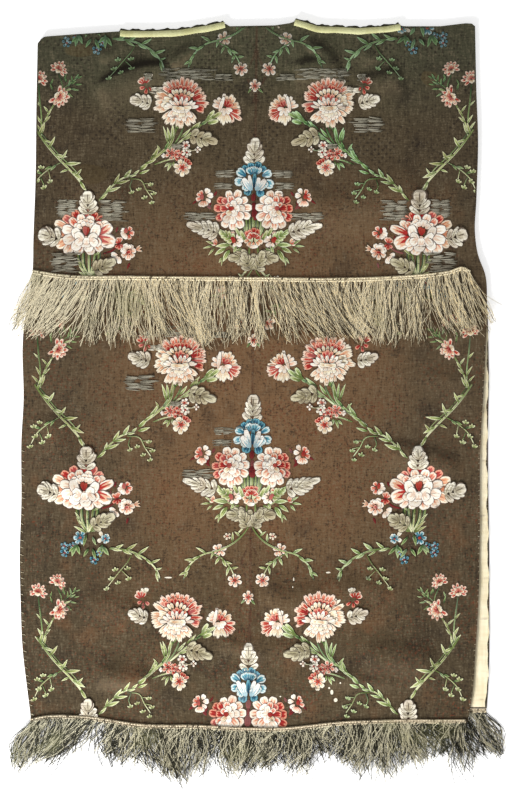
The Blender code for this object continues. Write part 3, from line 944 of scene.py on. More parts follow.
    c.level = 0.0
    c.small_rose(-9, -54, 6.5, CORAL, FLAME, 20)
    c.small_rose(-1, -56, 6, RED, CORAL, 50)
    c.small_rose(5, -46, 4.6, WHITE, CORAL, 0)
    c.small_rose(6, -53, 5, SILVER, WHITE, 30)
    c.small_rose(2, -68, 8.4, CREAM, CORAL, 10, 7)
    c.ring(3, 20, 80, (4, -66), 3, 5, 4.4, RED)
    c.ring(3, 150, 220, (-15, -56), 0.5, 3.6, 2.6, WHITE)
    c.ring(4, 0, 270, (17, -50), 0.4, 2.8, 2.4, WHITE)
    c.family = Family.GREEN
    c.stem([(6, -50), (12, -51), (16, -50)], 1, TAN)
    return c


def rose_chart() -> Chart:
    """The full rose with its small roses, metal leaves, blue flowers, garland and stems."""
    c = Chart(family=Family.SILVER)
    c.bars(-19, 23, 21, 18)
    c.bars(26, 21, 25, 20)
    c.bars(-21, -31, 27, 19)
    c.lobed(2, 17, 91, 24, 24, SILVER)
    c.lobed(-26, -8, 162, 22, 27, SILVER)
    c.lobed(8, -40, 28, 25, 18, TAN)

    c.family, c.level = Family.GREEN, 0.0
    for x, bow in [(-8, -2), (-3, -1), (3, 1), (9, 2), (13, 4)]:
        c.stem([(x, -21), (0.6 * x + bow, -32), (3.5, -46)], 2.2)
        c.stem([(x + 1.6, -21), (0.6 * x + bow + 1.6, -32), (5, -46)], 1.2, MOSS)
    c.leaves([
        (2, -45, 128, 15, 3.2), (1, -46, 150, 14, 3), (6, -45, 58, 14, 3), (7, -45, 30, 16, 3.2),
        (-4, -34, 128, 10, 2.6), (9, -24, 35, 12, 2.4),
    ], LIME)
    c.stem([(-51, 102), (-44, 92), (-30, 75), (-18, 63), (-7, 51), (1, 40)], 2.4)
    c.stem([(-50, 104), (-42, 94), (-28, 77), (-16, 66), (-6, 55)], 1, LEAF)
    c.leaves([
        (-48, 97, 70, 13, 3.4), (-44, 92, -20, 12, 3), (-38, 84, 62, 13, 3.4), (-32, 77, -14, 13, 3.2),
        (-26, 71, 60, 12, 3.4), (-22, 68, 2, 16, 4.4), (-14, 60, -30, 15, 4.6), (-10, 56, 48, 9, 2.8),
        (-6, 50, -60, 13, 3.6), (-18, 62, 200, 9, 2.6),
    ], LIME)
    c.stem([(-24, 70), (-38, 62), (-48, 53), (-54, 42)], 1.1)
    c.stem([(-38, 62), (-36, 52)], 0.9)
    c.stem([(-46, 55), (-42, 46)], 0.9, LEAF)
    c.leaves([(-34, 65, 200, 8, 2.4), (-30, 67, 230, 8, 2.4), (-44, 58, 170, 8, 2.6)], LEAF)
    c.buds([(-36, 50), (-42, 44), (-49, 50), (-54, 40), (-51, 60), (-45, 64)], LIME, 4)

    c.stem([(25, -62), (40, -63), (53, -67), (66, -75), (74, -85), (77, -93)], 2)
    c.leaves([
        (30, -62, 24, 12, 3.2), (38, -63, -30, 11, 3), (42, -63, 36, 13, 3.8), (50, -66, -34, 12, 3.2),
        (54, -67, 30, 13, 3.6), (62, -72, -50, 12, 3.2), (67, -76, 16, 11, 3.2), (73, -84, -80, 11, 3),
        (26, -61, -12, 12, 3.4), (72, -83, 20, 7, 2.4),
    ], LIME)
    c.stem([(48, -68), (43, -76), (36, -84), (22, -101)], 1)
    c.stem([(37, -83), (44, -90)], 0.8)
    c.buds([(31, -83), (44, -82), (45, -92), (34, -96), (22, -102), (27, -92)], LIME, 3.8)
    c.leaves([
        (-9, -58, 250, 12, 5), (-9, -60, 215, 9, 4), (-8, -58, 290, 11, 4.6), (18, -58, 260, 13, 5),
        (18, -60, 225, 9, 4), (19, -60, 310, 11, 4.4), (4, -62, 235, 10, 3.6), (8, -62, 290, 12, 3.8),
        (2, -48, 250, 12, 4), (8, -50, 300, 10, 3.4),
    ], LEAF)

    c.family, c.level = Family.BLUE, 0.0
    c.small_rose(-4.5, -51, 7, SKY, TEAL, 0)
    c.ring(4, 30, 300, (19, -51), 1, 6, 4.6, SILVER)
    c.small_rose(21, -52, 4.6, SKY, TEAL, 20)
    small = [(-20.5, -59, 4.2), (-20.5, -66, 4.4), (9.5, -73, 4.6), (-12, -59, 3.6), (15, -66, 3.6)]
    for x, y, size in small:
        c.small_rose(x, y, size, TEAL, SKY, 10, 5)

    c.family, c.level = Family.ROSES, 0.0
    c.stem([(37, -3), (33, -12), (26, -19), (17, -22)], 2, WINE)
    c.stem([(31, -9), (34, -17), (38, -22)], 1.6, WINE)
    c.leaves([(32, 5, 250, 6, 2.6), (27, -4, 250, 9, 3), (44, -31, 250, 7, 2.4)], WINE)
    c.blobs([(-18, 12, 145, 10, 8.5), (-10, 16.5, 118, 10, 8.5), (-1, 17.5, 95, 10, 9)], RED)
    c.blobs([(8, 16, 66, 10, 8.5), (15, 11.5, 42, 10, 8.5)], RED)
    c.blobs([(-25, 7, 158, 13, 10.5), (-27, -2, 180, 12, 9), (-23.5, -11, 205, 14, 11)], PEACH)
    c.blobs([(-16, -16, 238, 12, 11), (-6, -18, 260, 11, 10.5), (5, -17.5, 282, 11, 10.5)], BLUSH)
    c.blobs([(17, 7, 52, 13, 9), (13, -15, 308, 11.5, 9.5)], BLUSH)
    c.blobs([(21.5, 1.5, 24, 17, 10), (20, -10, -24, 18, 14)], GLOW)
    c.blobs([(-12, 9.5, 135, 10, 8), (12, 6, 40, 10, 8)], CORAL)
    c.blobs([(-5, 12, 105, 10, 8.5), (4, 12, 78, 10, 8.5)], BLUSH)
    c.blobs([(-18, 2, 168, 12, 9.5), (-17, -7, 196, 13, 10)], WHITE)
    c.blobs([(-9, -13, 240, 12, 10.5), (2, -14.5, 274, 12, 11.5)], WHITE)
    c.blobs([(10.5, -9.5, 312, 11, 9.5)], BLUSH)
    c.level += 0.05
    c.ring(5, 30, 150, (0, 1), (6, 5), 7.5, 8, BLUSH)
    c.ring(4, 40, 140, (0, 0), (5, 4.5), 6.5, 7, WHITE)
    c.blobs([(-9.5, -1, 112, 14, 9), (9.5, -1, 68, 14, 9)], WHITE)
    c.ring(2, 80, 100, (0, -5), 1, 9, 5.6, EYE)
    c.petal(0, -4.5, 270, 11, 15, WHITE, FAN)
    c.blobs([(-6, -6, 128, 12, 8), (6.4, -6, 52, 12, 8)], WHITE)
    c.petal(0.3, -13.5, 90, 8, 8.6, WHITE)
    c.blobs([(-7.5, -10.5, 228, 9, 8), (7.5, -10.5, 312, 9, 8)], WHITE)

    c.level = 0.0
    c.ring(3, 150, 240, (41, -1), (1.4, 2), 5.6, 6.4, WHITE)
    c.ring(3, -70, 60, (42, -1), (1.4, 2), 5.4, 5.6, CORAL)
    c.petal(40, 3.5, 275, 6, 4.2, EYE)
    c.ring(3, 70, 140, (33, -12), 1, 6, 5, CORAL)
    c.ring(3, 230, 320, (33, -12), 1, 5, 4, RED)
    c.ring(3, 180, 270, (33, -23), (1.5, 2), 6.4, 5.4, WHITE)
    c.ring(7, 10, 320, (42.5, -20), 2.4, 6.2, 6.2, BLUSH)
    c.ring(4, 70, 200, (42, -18.5), 1.4, 4.4, 5.2, WHITE)
    c.petal(40.5, -21, 10, 5, 4.4, RED)
    for turn in (48, 22, -12):
        c.petal(50, -18, turn, 6.5, 2.3, PEACH, LEAFLET)
    return c


def bouquet_half_chart() -> Chart:
    """The left half of the centre bouquet: rose, small roses, leaves, stems and garland."""
    c = Chart(family=Family.SILVER)
    c.bars(-29, 4, 22, 7)
    c.bars(-30, -8, 20, 6)
    c.bars(-54, -39, 32, 9)
    c.lobed(-35, -55, 163, 35, 15, SILVER, 4)
    c.lobed(-5, -78, 188, 20, 17, TAN)
    c.lobed(-3, -92, 112, 20, 15, TAN)

    c.family, c.level = Family.GREEN, 0.0
    for x, top, bow in [(-1, -38, 0), (-4, -40, -2), (-7.5, -41, -3), (-10, -46, -4)]:
        c.stem([(x, top), (0.7 * x + 0.5 * bow, -50), (-2, -66)], 2.1)
        c.stem([(x - 1.7, top - 1), (0.7 * x + 0.5 * bow - 1.7, -50), (-3, -66)], 1.1, MOSS)
    c.stem([(-4, -68), (-5, -80), (-6, -90), (-13, -99)], 2.2)
    c.stem([(-7, -72), (-8, -84), (-7, -92)], 1.6, LEAF)
    c.stem([(-30, -61), (-22, -68), (-10, -74)], 1.4)
    c.lobed(-20, -62, 148, 17, 11, LIME)
    c.petal(-8, -63, 116, 13, 4.6, LIME)
    c.petal(-14, -58, 118, 9, 4, LIME)
    c.leaves([
        (-28, -70, 205, 12, 5), (-24, -67, 178, 14, 5.6), (-40, -66, 150, 9, 2.6),
        (-41, -68, 186, 10, 2.6), (-39, -70, 222, 9, 2.6), (-24, -72, 238, 14, 6),
        (-31, -79, 228, 8, 2.4), (-31, -80, 262, 8, 2.2), (-12, -70, 215, 10, 3.4),
        (-10, -72, 240, 9, 3.4), (-17, -68, 250, 8, 3), (-30, -55, 140, 9, 2.6),
    ], LIME)
    c.stem([(-2, -92), (-6, -98), (-14, -106), (-31, -115), (-49, -120), (-62, -132), (-67, -145)], 1.8)
    c.stem([(-39, -118), (-28, -123), (-20, -131), (-14, -142)], 1.3)
    c.leaves([
        (-18, -107, 86, 10, 3), (-10, -101, 140, 8, 2.6), (-36, -116, 250, 8, 2.6),
        (-44, -118, 150, 12, 3.4), (-50, -121, 214, 12, 3.4), (-56, -125, 176, 11, 3.4),
        (-60, -130, 236, 11, 3.4), (-64, -137, 206, 8, 2.8), (-30, -122, 240, 9, 3),
        (-25, -126, 340, 9, 3), (-20, -131, 250, 9, 3), (-18, -133, 10, 8, 2.8),
        (-27, -124, 290, 9, 3.2), (-66, -142, 60, 8, 2.6),
    ], LIME)

    c.family, c.level = Family.ROSES, 0.0
    c.leaves([
        (-43, -22, 250, 9, 4.6), (-46, -26, 300, 7, 4), (-56, -22, 215, 7, 2.4), (-40, -18, 60, 6, 2.8),
    ], WINE)
    x, y = -21.3, -31.0
    across, up, longer, wider = 0.87, 0.92, 0.95, 0.96
    around = [
        (RED, [(-13, 9.5, 145, 10, 9), (-16, 0.5, 178, 10, 9), (-14.5, -8.5, 208, 10.5, 9)]),
        (BLUSH, [(-4, 15, 102, 10, 9), (5.5, 15.5, 72, 10, 9), (13, 10, 40, 10.5, 9)]),
        (BLUSH, [(16.5, 1.5, 0, 10.5, 9), (15, -7.5, -32, 10.5, 9), (-8, -15.5, 238, 10.5, 9)]),
        (BLUSH, [(1, -18, 268, 10, 9.5), (9, -15, 300, 10.5, 9)]),
        (RED, [(-7.5, 8.5, 130, 9, 8), (-10, 1, 178, 9, 8)]),
        (CORAL, [(-9, -7, 212, 9.5, 8), (-1, 9.5, 96, 9, 8)]),
        (WHITE, [(6.5, 8, 52, 10, 9), (9.5, 0.5, -5, 10, 9)]),
        (WHITE, [(0, -10.5, 266, 11, 10), (-6, -10.5, 238, 9, 8)]),
        (BLUSH, [(8, -8, 310, 10, 9)]),
        (WHITE, [(4.8, 1.2, 10, 8.5, 8), (2, -4.6, 290, 8.5, 7.5), (1, 5.6, 80, 7.5, 7)]),
        (CREAM, [(-4.2, -4, 222, 7, 6)]),
        (CORAL, [(-5, 4, 142, 7, 6)]),
        (WHITE, [(-2, 3.2, 92, 4.5, 4.5), (1, -1.6, -34, 4.5, 4.2)]),
    ]
    for shade, rows in around:
        c.blobs([
            (x + across * a, y + up * b, angle, longer * long, wider * wide)
            for a, b, angle, long, wide in rows
        ], shade)
    c.petal(x - 4.2, y + 0.6, 0, 5.4, 5.2, EYE)
    c.level = 0.0
    c.ring(3, -50, 60, (-49, -18), (2, 3), 6, 6, WHITE)
    c.ring(3, 110, 200, (-51, -19), (1.5, 2.5), 5.4, 5, CORAL)
    c.ring(3, 240, 300, (-50, -21), (1.5, 2), 6.4, 5.4, BLUSH)
    c.petal(-51.5, -16, 275, 5.5, 4.2, EYE)
    c.level = 0.0
    c.ring(4, 100, 220, (-20, -61), 2.5, 5.6, 5.4, CORAL)
    c.ring(4, -90, 50, (-19, -62), 2.5, 6.4, 6, WHITE)
    c.petal(-21.5, -58.5, 290, 6.5, 5, EYE)
    c.level = 0.0
    c.ring(3, 120, 180, (-36, -66), 0.6, 6, 4, PEACH)
    c.ring(2, 140, 165, (-37, -66), 0.6, 4.2, 2.6, CORAL)
    c.level = 0.0
    c.small_rose(-31, -115, 7, BLUSH, PEACH, 20)
    c.small_rose(-14, -145, 7, BLUSH, CORAL, 40)
    c.small_rose(-23, -101, 3.6, CREAM, BLUSH, 40, 5)
    return c


def bouquet_centre_chart() -> Chart:
    """What stands on the middle line: metal leaves, blue flower, centre rose and last small rose."""
    c = Chart(family=Family.SILVER)
    c.lobed(0, 13, 90, 27, 22, SILVER)
    c.lobed(0, -92, 90, 18, 14, TAN)
    c.family, c.level = Family.ROSES, 0.0
    for y, size in [(-16, 9), (-25, 9), (-33, 12)]:
        c.petal(0, y + 0.5 * size - 4, 270, size, 0.58 * size, WINE)
    c.family, c.level = Family.BLUE, 0.0
    c.ring(6, 22, 158, (0, 0), (9, 8), 8.5, 8.2, TEAL)
    for side in (-1, 1):
        c.petal(side * 4, -9, 270 + side * 22, 10, 9.5, TEAL, FAN)
        c.petal(side * 8, 2, 90 - side * 62, 11, 9, SKY, FAN)
        c.petal(side * 8, -3, 90 - side * 104, 12, 9.5, SKY, FAN)
    c.ring(5, 60, 120, (0, 0), (5, 4), 8, 6.5, SKY)
    c.ring(2, 206, 232, (0, -1), (6, 4), 9.5, 8.4, SKY)
    c.ring(2, 308, 334, (0, -1), (6, 4), 9.5, 8.4, SKY)
    for side in (-1, 1):
        c.petal(side * 2.8, -12.5, 90 - side * 34, 15.5, 7, ICE)
        c.petal(side * 2, -12.5, 90 - side * 14, 17, 5.8, ICE)
    c.petal(0, -9.5, 90, 15, 5.2, TEAL)
    c.family, c.level = Family.ROSES, 0.0
    c.ring(7, 8, 172, (0, -60), (4, 3), 7.5, 6.4, RED)
    c.ring(5, 20, 160, (0, -61), 2, 5.5, 5.4, FLAME)
    c.ring(5, 200, 340, (0, -61), (5, 3), 5.5, 5.6, PEACH)
    c.petal(-4, -69, 0, 8, 4.4, WHITE)
    c.petal(-2, -58, 0, 4, 4, EYE)
    c.level = 0.0
    c.small_rose(0, -162, 6, BLUSH, FLAME, 30)
    c.family = Family.GREEN
    c.leaves([(-3, -164, 230, 7, 2.4), (3, -164, 310, 7, 2.4)], LEAF)
    return c


def sprig_chart() -> Chart:
    """The sprig at the cloth's sides: three small carnations with feathery leaves."""
    c = Chart(family=Family.GREEN)
    c.stem([(-2, -4), (-8, -14), (-14, -26), (-17, -40)], 1.8)
    c.stem([(-20, 12), (-19, -2), (-17, -20), (-17, -36)], 1.6, LEAF)
    c.stem([(0, 22), (4, 10), (2, -2)], 1.2, LEAF)
    c.stem([(2, 6), (10, 12), (18, 18)], 1, LEAF)
    c.leaves([
        (-12, -20, 60, 11, 2.6), (-16, -28, 120, 12, 2.8), (-15, -26, 40, 10, 2.4),
        (-18, -34, 130, 11, 2.6), (-18, -10, 130, 9, 2.2), (-10, -16, 130, 9, 2.4), (6, 6, 20, 9, 2.2),
        (-17, -38, 70, 13, 3),
    ], LIME)
    c.leaves([
        (10, 10, 80, 8, 2), (12, 12, 30, 8, 2), (14, 14, 100, 8, 2), (16, 17, 60, 7, 2),
        (12, 8, -10, 8, 2), (16, 12, 5, 7, 1.8), (18, 18, 20, 6, 1.8), (8, 14, 110, 7, 2),
        (9, 4, -40, 7, 2), (-8, 12, 60, 7, 2), (-6, 6, 100, 8, 2), (5, 16, 70, 7, 2),
    ], LEAF)
    c.family = Family.CARNATIONS
    for x, y, size, turn in [(0, 0, 9.5, -30), (-20, 17, 8, 80), (0, 27, 7.5, 60)]:
        c.level = 0.0
        c.ring(9, turn - 118, turn + 118, (x, y), 1.5, size, 0.46 * size, FLAME, SPIKE)
        c.ring(7, turn - 95, turn + 95, (x, y), 0.8, 0.72 * size, 0.38 * size, PEACH, SPIKE)
        c.ring(5, turn - 70, turn + 70, (x, y), 0.4, 0.46 * size, 0.34 * size, RED, SPIKE)
        c.ring(3, turn + 140, turn + 220, (x, y), 0.6, 0.42 * size, 0.4 * size, CREAM)
    return c


class Placing(NamedTuple):
    """Where a figure repeats.

    It stands so many cords out from the middle line, at heights in millimetres, and at some of them
    its metal is worn bare, on both sides or on the left alone.
    """

    chart: Chart
    out: float
    heights: tuple[float, ...]
    bare: tuple[float, ...] = ()
    left_bare: tuple[float, ...] = ()
    mirrored: bool = True


# Where the pattern's middle line runs and how it is drawn in across, each row (height, value).
MIDDLE_LINE = [
    (-400, -10.0), (-335, -9.2), (-253, -9.8), (-104, -5.6), (47, -3.2), (193, -3.2), (347, -1.7),
    (440, -1.5),
]
DRAWN_IN = [(-400, 0.965), (-253, 0.965), (-104, 1.0), (440, 1.0)]


def quilt_faces(rows: int, columns: int) -> Faces:
    """Faces of a closed sheet whose points are two grids, the lower one first.

    Args:
        rows, columns: the grids' size.

    Returns:
        The quads of both grids and of the rim that joins them.
    """
    grid = np.arange(rows * columns).reshape(rows, columns)
    size = rows * columns
    a, b, c, d = grid[:-1, :-1], grid[:-1, 1:], grid[1:, 1:], grid[1:, :-1]
    top = beside(a, b, c, d).reshape(-1, 4) + size
    under = beside(a, d, c, b).reshape(-1, 4)
    rim = np.concatenate([grid[0, :-1], grid[:-1, -1], grid[-1, :0:-1], grid[:0:-1, 0]])
    after = np.roll(rim, -1)
    sides = beside(rim, after, after + size, rim + size)
    return [top, under, sides]


def add_object(name: str, data: bpy.types.ID, place: Sequence[float] = (0, 0, 0)) -> Object:
    """Adds an object to the scene, at a place in metres."""
    made = bpy.data.objects.new(name, data)
    made.location = place
    bpy.context.scene.collection.objects.link(made)
    return made


def make_piece(name: str, points: Array, faces: Faces, finish: Material) -> Object:
    """Makes a piece that rides on the mantle.

    Args:
        name: the piece's name.
        points: its points, in millimetres.
        faces: arrays of its faces, each with one number of corners.
        finish: its material.

    Returns:
        The new object, at the origin.
    """
    flat = np.concatenate([f.reshape(-1) for f in faces])
    sizes = np.concatenate([np.full(len(f), f.shape[1]) for f in faces])
    mesh = bpy.data.meshes.new(name)
    mesh.vertices.add(len(points))
    mesh.vertices.foreach_set("co", (points * MM).astype(np.float32).ravel())
    mesh.loops.add(len(flat))
    mesh.loops.foreach_set("vertex_index", flat.astype(np.int32))
    mesh.polygons.add(len(sizes))
    mesh.polygons.foreach_set("loop_start", np.concatenate([[0], np.cumsum(sizes)[:-1]]).astype(np.int32))
    mesh.update(calc_edges=True)
    mesh.materials.append(finish)
    mesh.shade_smooth()
    mesh.set_sharp_from_angle(angle=radians(50))
    made = add_object(name, mesh)
    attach(made, "root")
    log.info("%s: %d faces", name, len(sizes))
    return made


def walls(first: Array, second: Array) -> Array:
    """Quads that join rings of points to the next rings, from their numbers, round the last axis."""
    return beside(first, second, np.roll(second, -1, axis=-1), np.roll(first, -1, axis=-1)).reshape(-1, 4)


def tubes(path: Array, radius: Array, sides: int) -> tuple[Array, Faces]:
    """Closed tubes round many paths: rings of points at right angles to each path, joined by quads.

    Args:
        path: the paths (tubes, stations, 3), none of them upright.
        radius: the radius at each station.
        sides: points in a ring.

    Returns:
        The points (tubes, stations, sides, 3) and the faces.
    """
    run = np.gradient(path, axis=1)
    run /= np.linalg.norm(run, axis=-1, keepdims=True)
    side = np.cross(run, (0, 0, 1.0))
    side /= np.linalg.norm(side, axis=-1, keepdims=True)
    over = np.cross(side, run)
    turn = tau * (np.arange(sides) / sides + 0.125)
    ring = side[:, :, None] * np.cos(turn)[:, None] + over[:, :, None] * np.sin(turn)[:, None]
    points = path[:, :, None] + ring * radius[..., None, None]
    index = np.arange(points.size // 3).reshape(points.shape[:3])
    return points, [walls(index[:, :-1], index[:, 1:]), index[:, 0], index[:, -1, ::-1]]


def paint(piece: Object, name: str, values: Array, kind: str = "FLOAT_VECTOR") -> None:
    """Stores a value for each point of a piece.

    Args:
        piece: the piece.
        name: the attribute's name.
        values: three numbers a point for a vector, four for a colour.
        kind: the attribute's type.
    """
    layer = piece.data.attributes.new(name, kind, "POINT")
    layer.data.foreach_set("color" if kind == "FLOAT_COLOR" else "vector", values.astype(np.float32).ravel())


@dataclass
class FrontCloth:
    """The front panel: a thin sheet between its side edges, top edge and hem, on its creases."""

    rows: int = 212
    columns: int = 140
    ripple: float = 0.1

    def __post_init__(self) -> None:
        """Lays the grid and its heights, which the brocading reads too."""
        share, height = np.meshgrid(np.linspace(0, 1, self.columns), np.linspace(0, 1, self.rows))
        self.x, self.y = self.to_cloth(share, height)
        self.top = FRONT_TOP + self.lift(self.x, self.y)

    def ends(self, share: Array) -> tuple[Array, Array]:
        """The hem's and the top edge's heights at shares of the width."""
        hem = HEM_LINE[0][0] + share * (HEM_LINE[-1][0] - HEM_LINE[0][0])
        over = TOP_EDGE[0][0] + share * (TOP_EDGE[-1][0] - TOP_EDGE[0][0])
        return smooth(HEM_LINE, hem) - HEM_COVER, straight(TOP_EDGE, over)

    def to_cloth(self, share: Array, height: Array) -> tuple[Array, Array]:
        """Turns shares into a place.

        Args:
            share, height: shares of the cloth's width and length.

        Returns:
            The places across and up, in millimetres.
        """
        low, high = self.ends(share)
        y = low + height * (high - low)
        left, right = smooth(LEFT_EDGE, y), smooth(RIGHT_EDGE, y)
        return left + share * (right - left), y

    def to_shares(self, x: Array, y: Array) -> tuple[Array, Array]:
        """Turns a place into shares.

        Args:
            x, y: places across and up, in millimetres.

        Returns:
            Shares of the cloth's width and length.
        """
        left, right = smooth(LEFT_EDGE, y), smooth(RIGHT_EDGE, y)
        share = (x - left) / (right - left)
        low, high = self.ends(np.clip(share, 0, 1))
        return share, (y - low) / (high - low)

    def lift(self, x: Array, y: Array) -> Array:
        """How far the creases raise the cloth: bowed ridges that fall off as exp(-(distance/slope)^2).

        Args:
            x, y: places across and up.

        Returns:
            The rise in millimetres, none at the edges and under the fringes.
        """
        rise = np.zeros_like(x)
        for fold in FOLDS + SMALL_FOLDS:
            start, end = np.array(fold.start, float), np.array(fold.end, float)
            length = np.hypot(*(end - start))
            along, across = (end - start) / length, np.array([start[1] - end[1], end[0] - start[0]]) / length
            at = ((x - start[0]) * along[0] + (y - start[1]) * along[1]) / length
            middle = 1 - (2 * at - 1) ** 2
            off = (x - start[0]) * across[0] + (y - start[1]) * across[1] - fold.bow * middle
            slope = np.where(off > 0, fold.slope_above, fold.slope_below)
            rise = np.maximum(rise, fold.height * np.exp(-((off / slope) ** 2)) * ramp(1.4 * middle + 0.3))
        rise = FOLD_PROUD * rise
        waves = np.sin(x / 13 + 2.0 * np.sin(y / 47)) + np.sin(y / 17 + 1.7 * np.sin(x / 39)) + 2
        rise = rise + self.ripple * waves
        waist = ramp((y - WAIST_FLAT[1]) / FOLD_MARGIN) + ramp((WAIST_FLAT[0] - y) / FOLD_MARGIN)
        top = ramp((straight(TOP_EDGE, x) - TOP_FLAT - y) / FOLD_MARGIN)
        left, right = smooth(LEFT_EDGE, y), smooth(RIGHT_EDGE, y)
        sides = ramp((x - left) / FOLD_MARGIN) * ramp((right - x) / FOLD_MARGIN)
        return rise * waist * ramp((y - HEM_FLAT) / FOLD_MARGIN) * top * sides

    def height_at(self, share: Array, height: Array) -> Array:
        """The cloth's upper face, read between the grid's points.

        Args:
            share, height: shares of the cloth's width and length.

        Returns:
            The heights above the surface, in millimetres.
        """
        c, r = np.clip(share, 0, 1) * (self.columns - 1), np.clip(height, 0, 1) * (self.rows - 1)
        i, j = np.minimum(r.astype(int), self.rows - 2), np.minimum(c.astype(int), self.columns - 2)
        a, b = r - i, c - j
        z = self.top
        low = z[i, j] * (1 - b) + z[i, j + 1] * b
        return low * (1 - a) + (z[i + 1, j] * (1 - b) + z[i + 1, j + 1] * b) * a

    def build(self, finish: Material) -> Object:
        """Makes the piece, in place of the solid panel.

        Args:
            finish: its material.

        Returns:
            The piece.
        """
        thick = FRONT_TOP - FRONT_BASE
        lower = beside(self.x, self.y, self.top - thick).reshape(-1, 3)
        points = np.concatenate([lower, lower + (0, 0, thick)])
        piece = make_piece("front_cloth", points, quilt_faces(self.rows, self.columns), finish)
        # How far each slope faces the key light, stored as the crease attribute for the painted shade and
        # painted highlight on the creases.
        slope = np.gradient(self.top, axis=0) / np.gradient(self.y, axis=0)
        slope_light_shade = np.clip(0.5 + slope, 0, 1).reshape(-1, 1)
        paint(piece, "crease", np.tile(slope_light_shade, (2, 3)))
        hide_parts("front_panel")
        return piece

    def area(self) -> float:
        """The cloth's flat area in square metres, from the lengths between its grid's points."""
        across = np.hypot(np.diff(self.x, axis=1), np.diff(self.top, axis=1))
        up = np.hypot(np.diff(self.y, axis=0), np.diff(self.top, axis=0))
        return float((across[:-1] * up[:, :-1]).sum()) * MM * MM


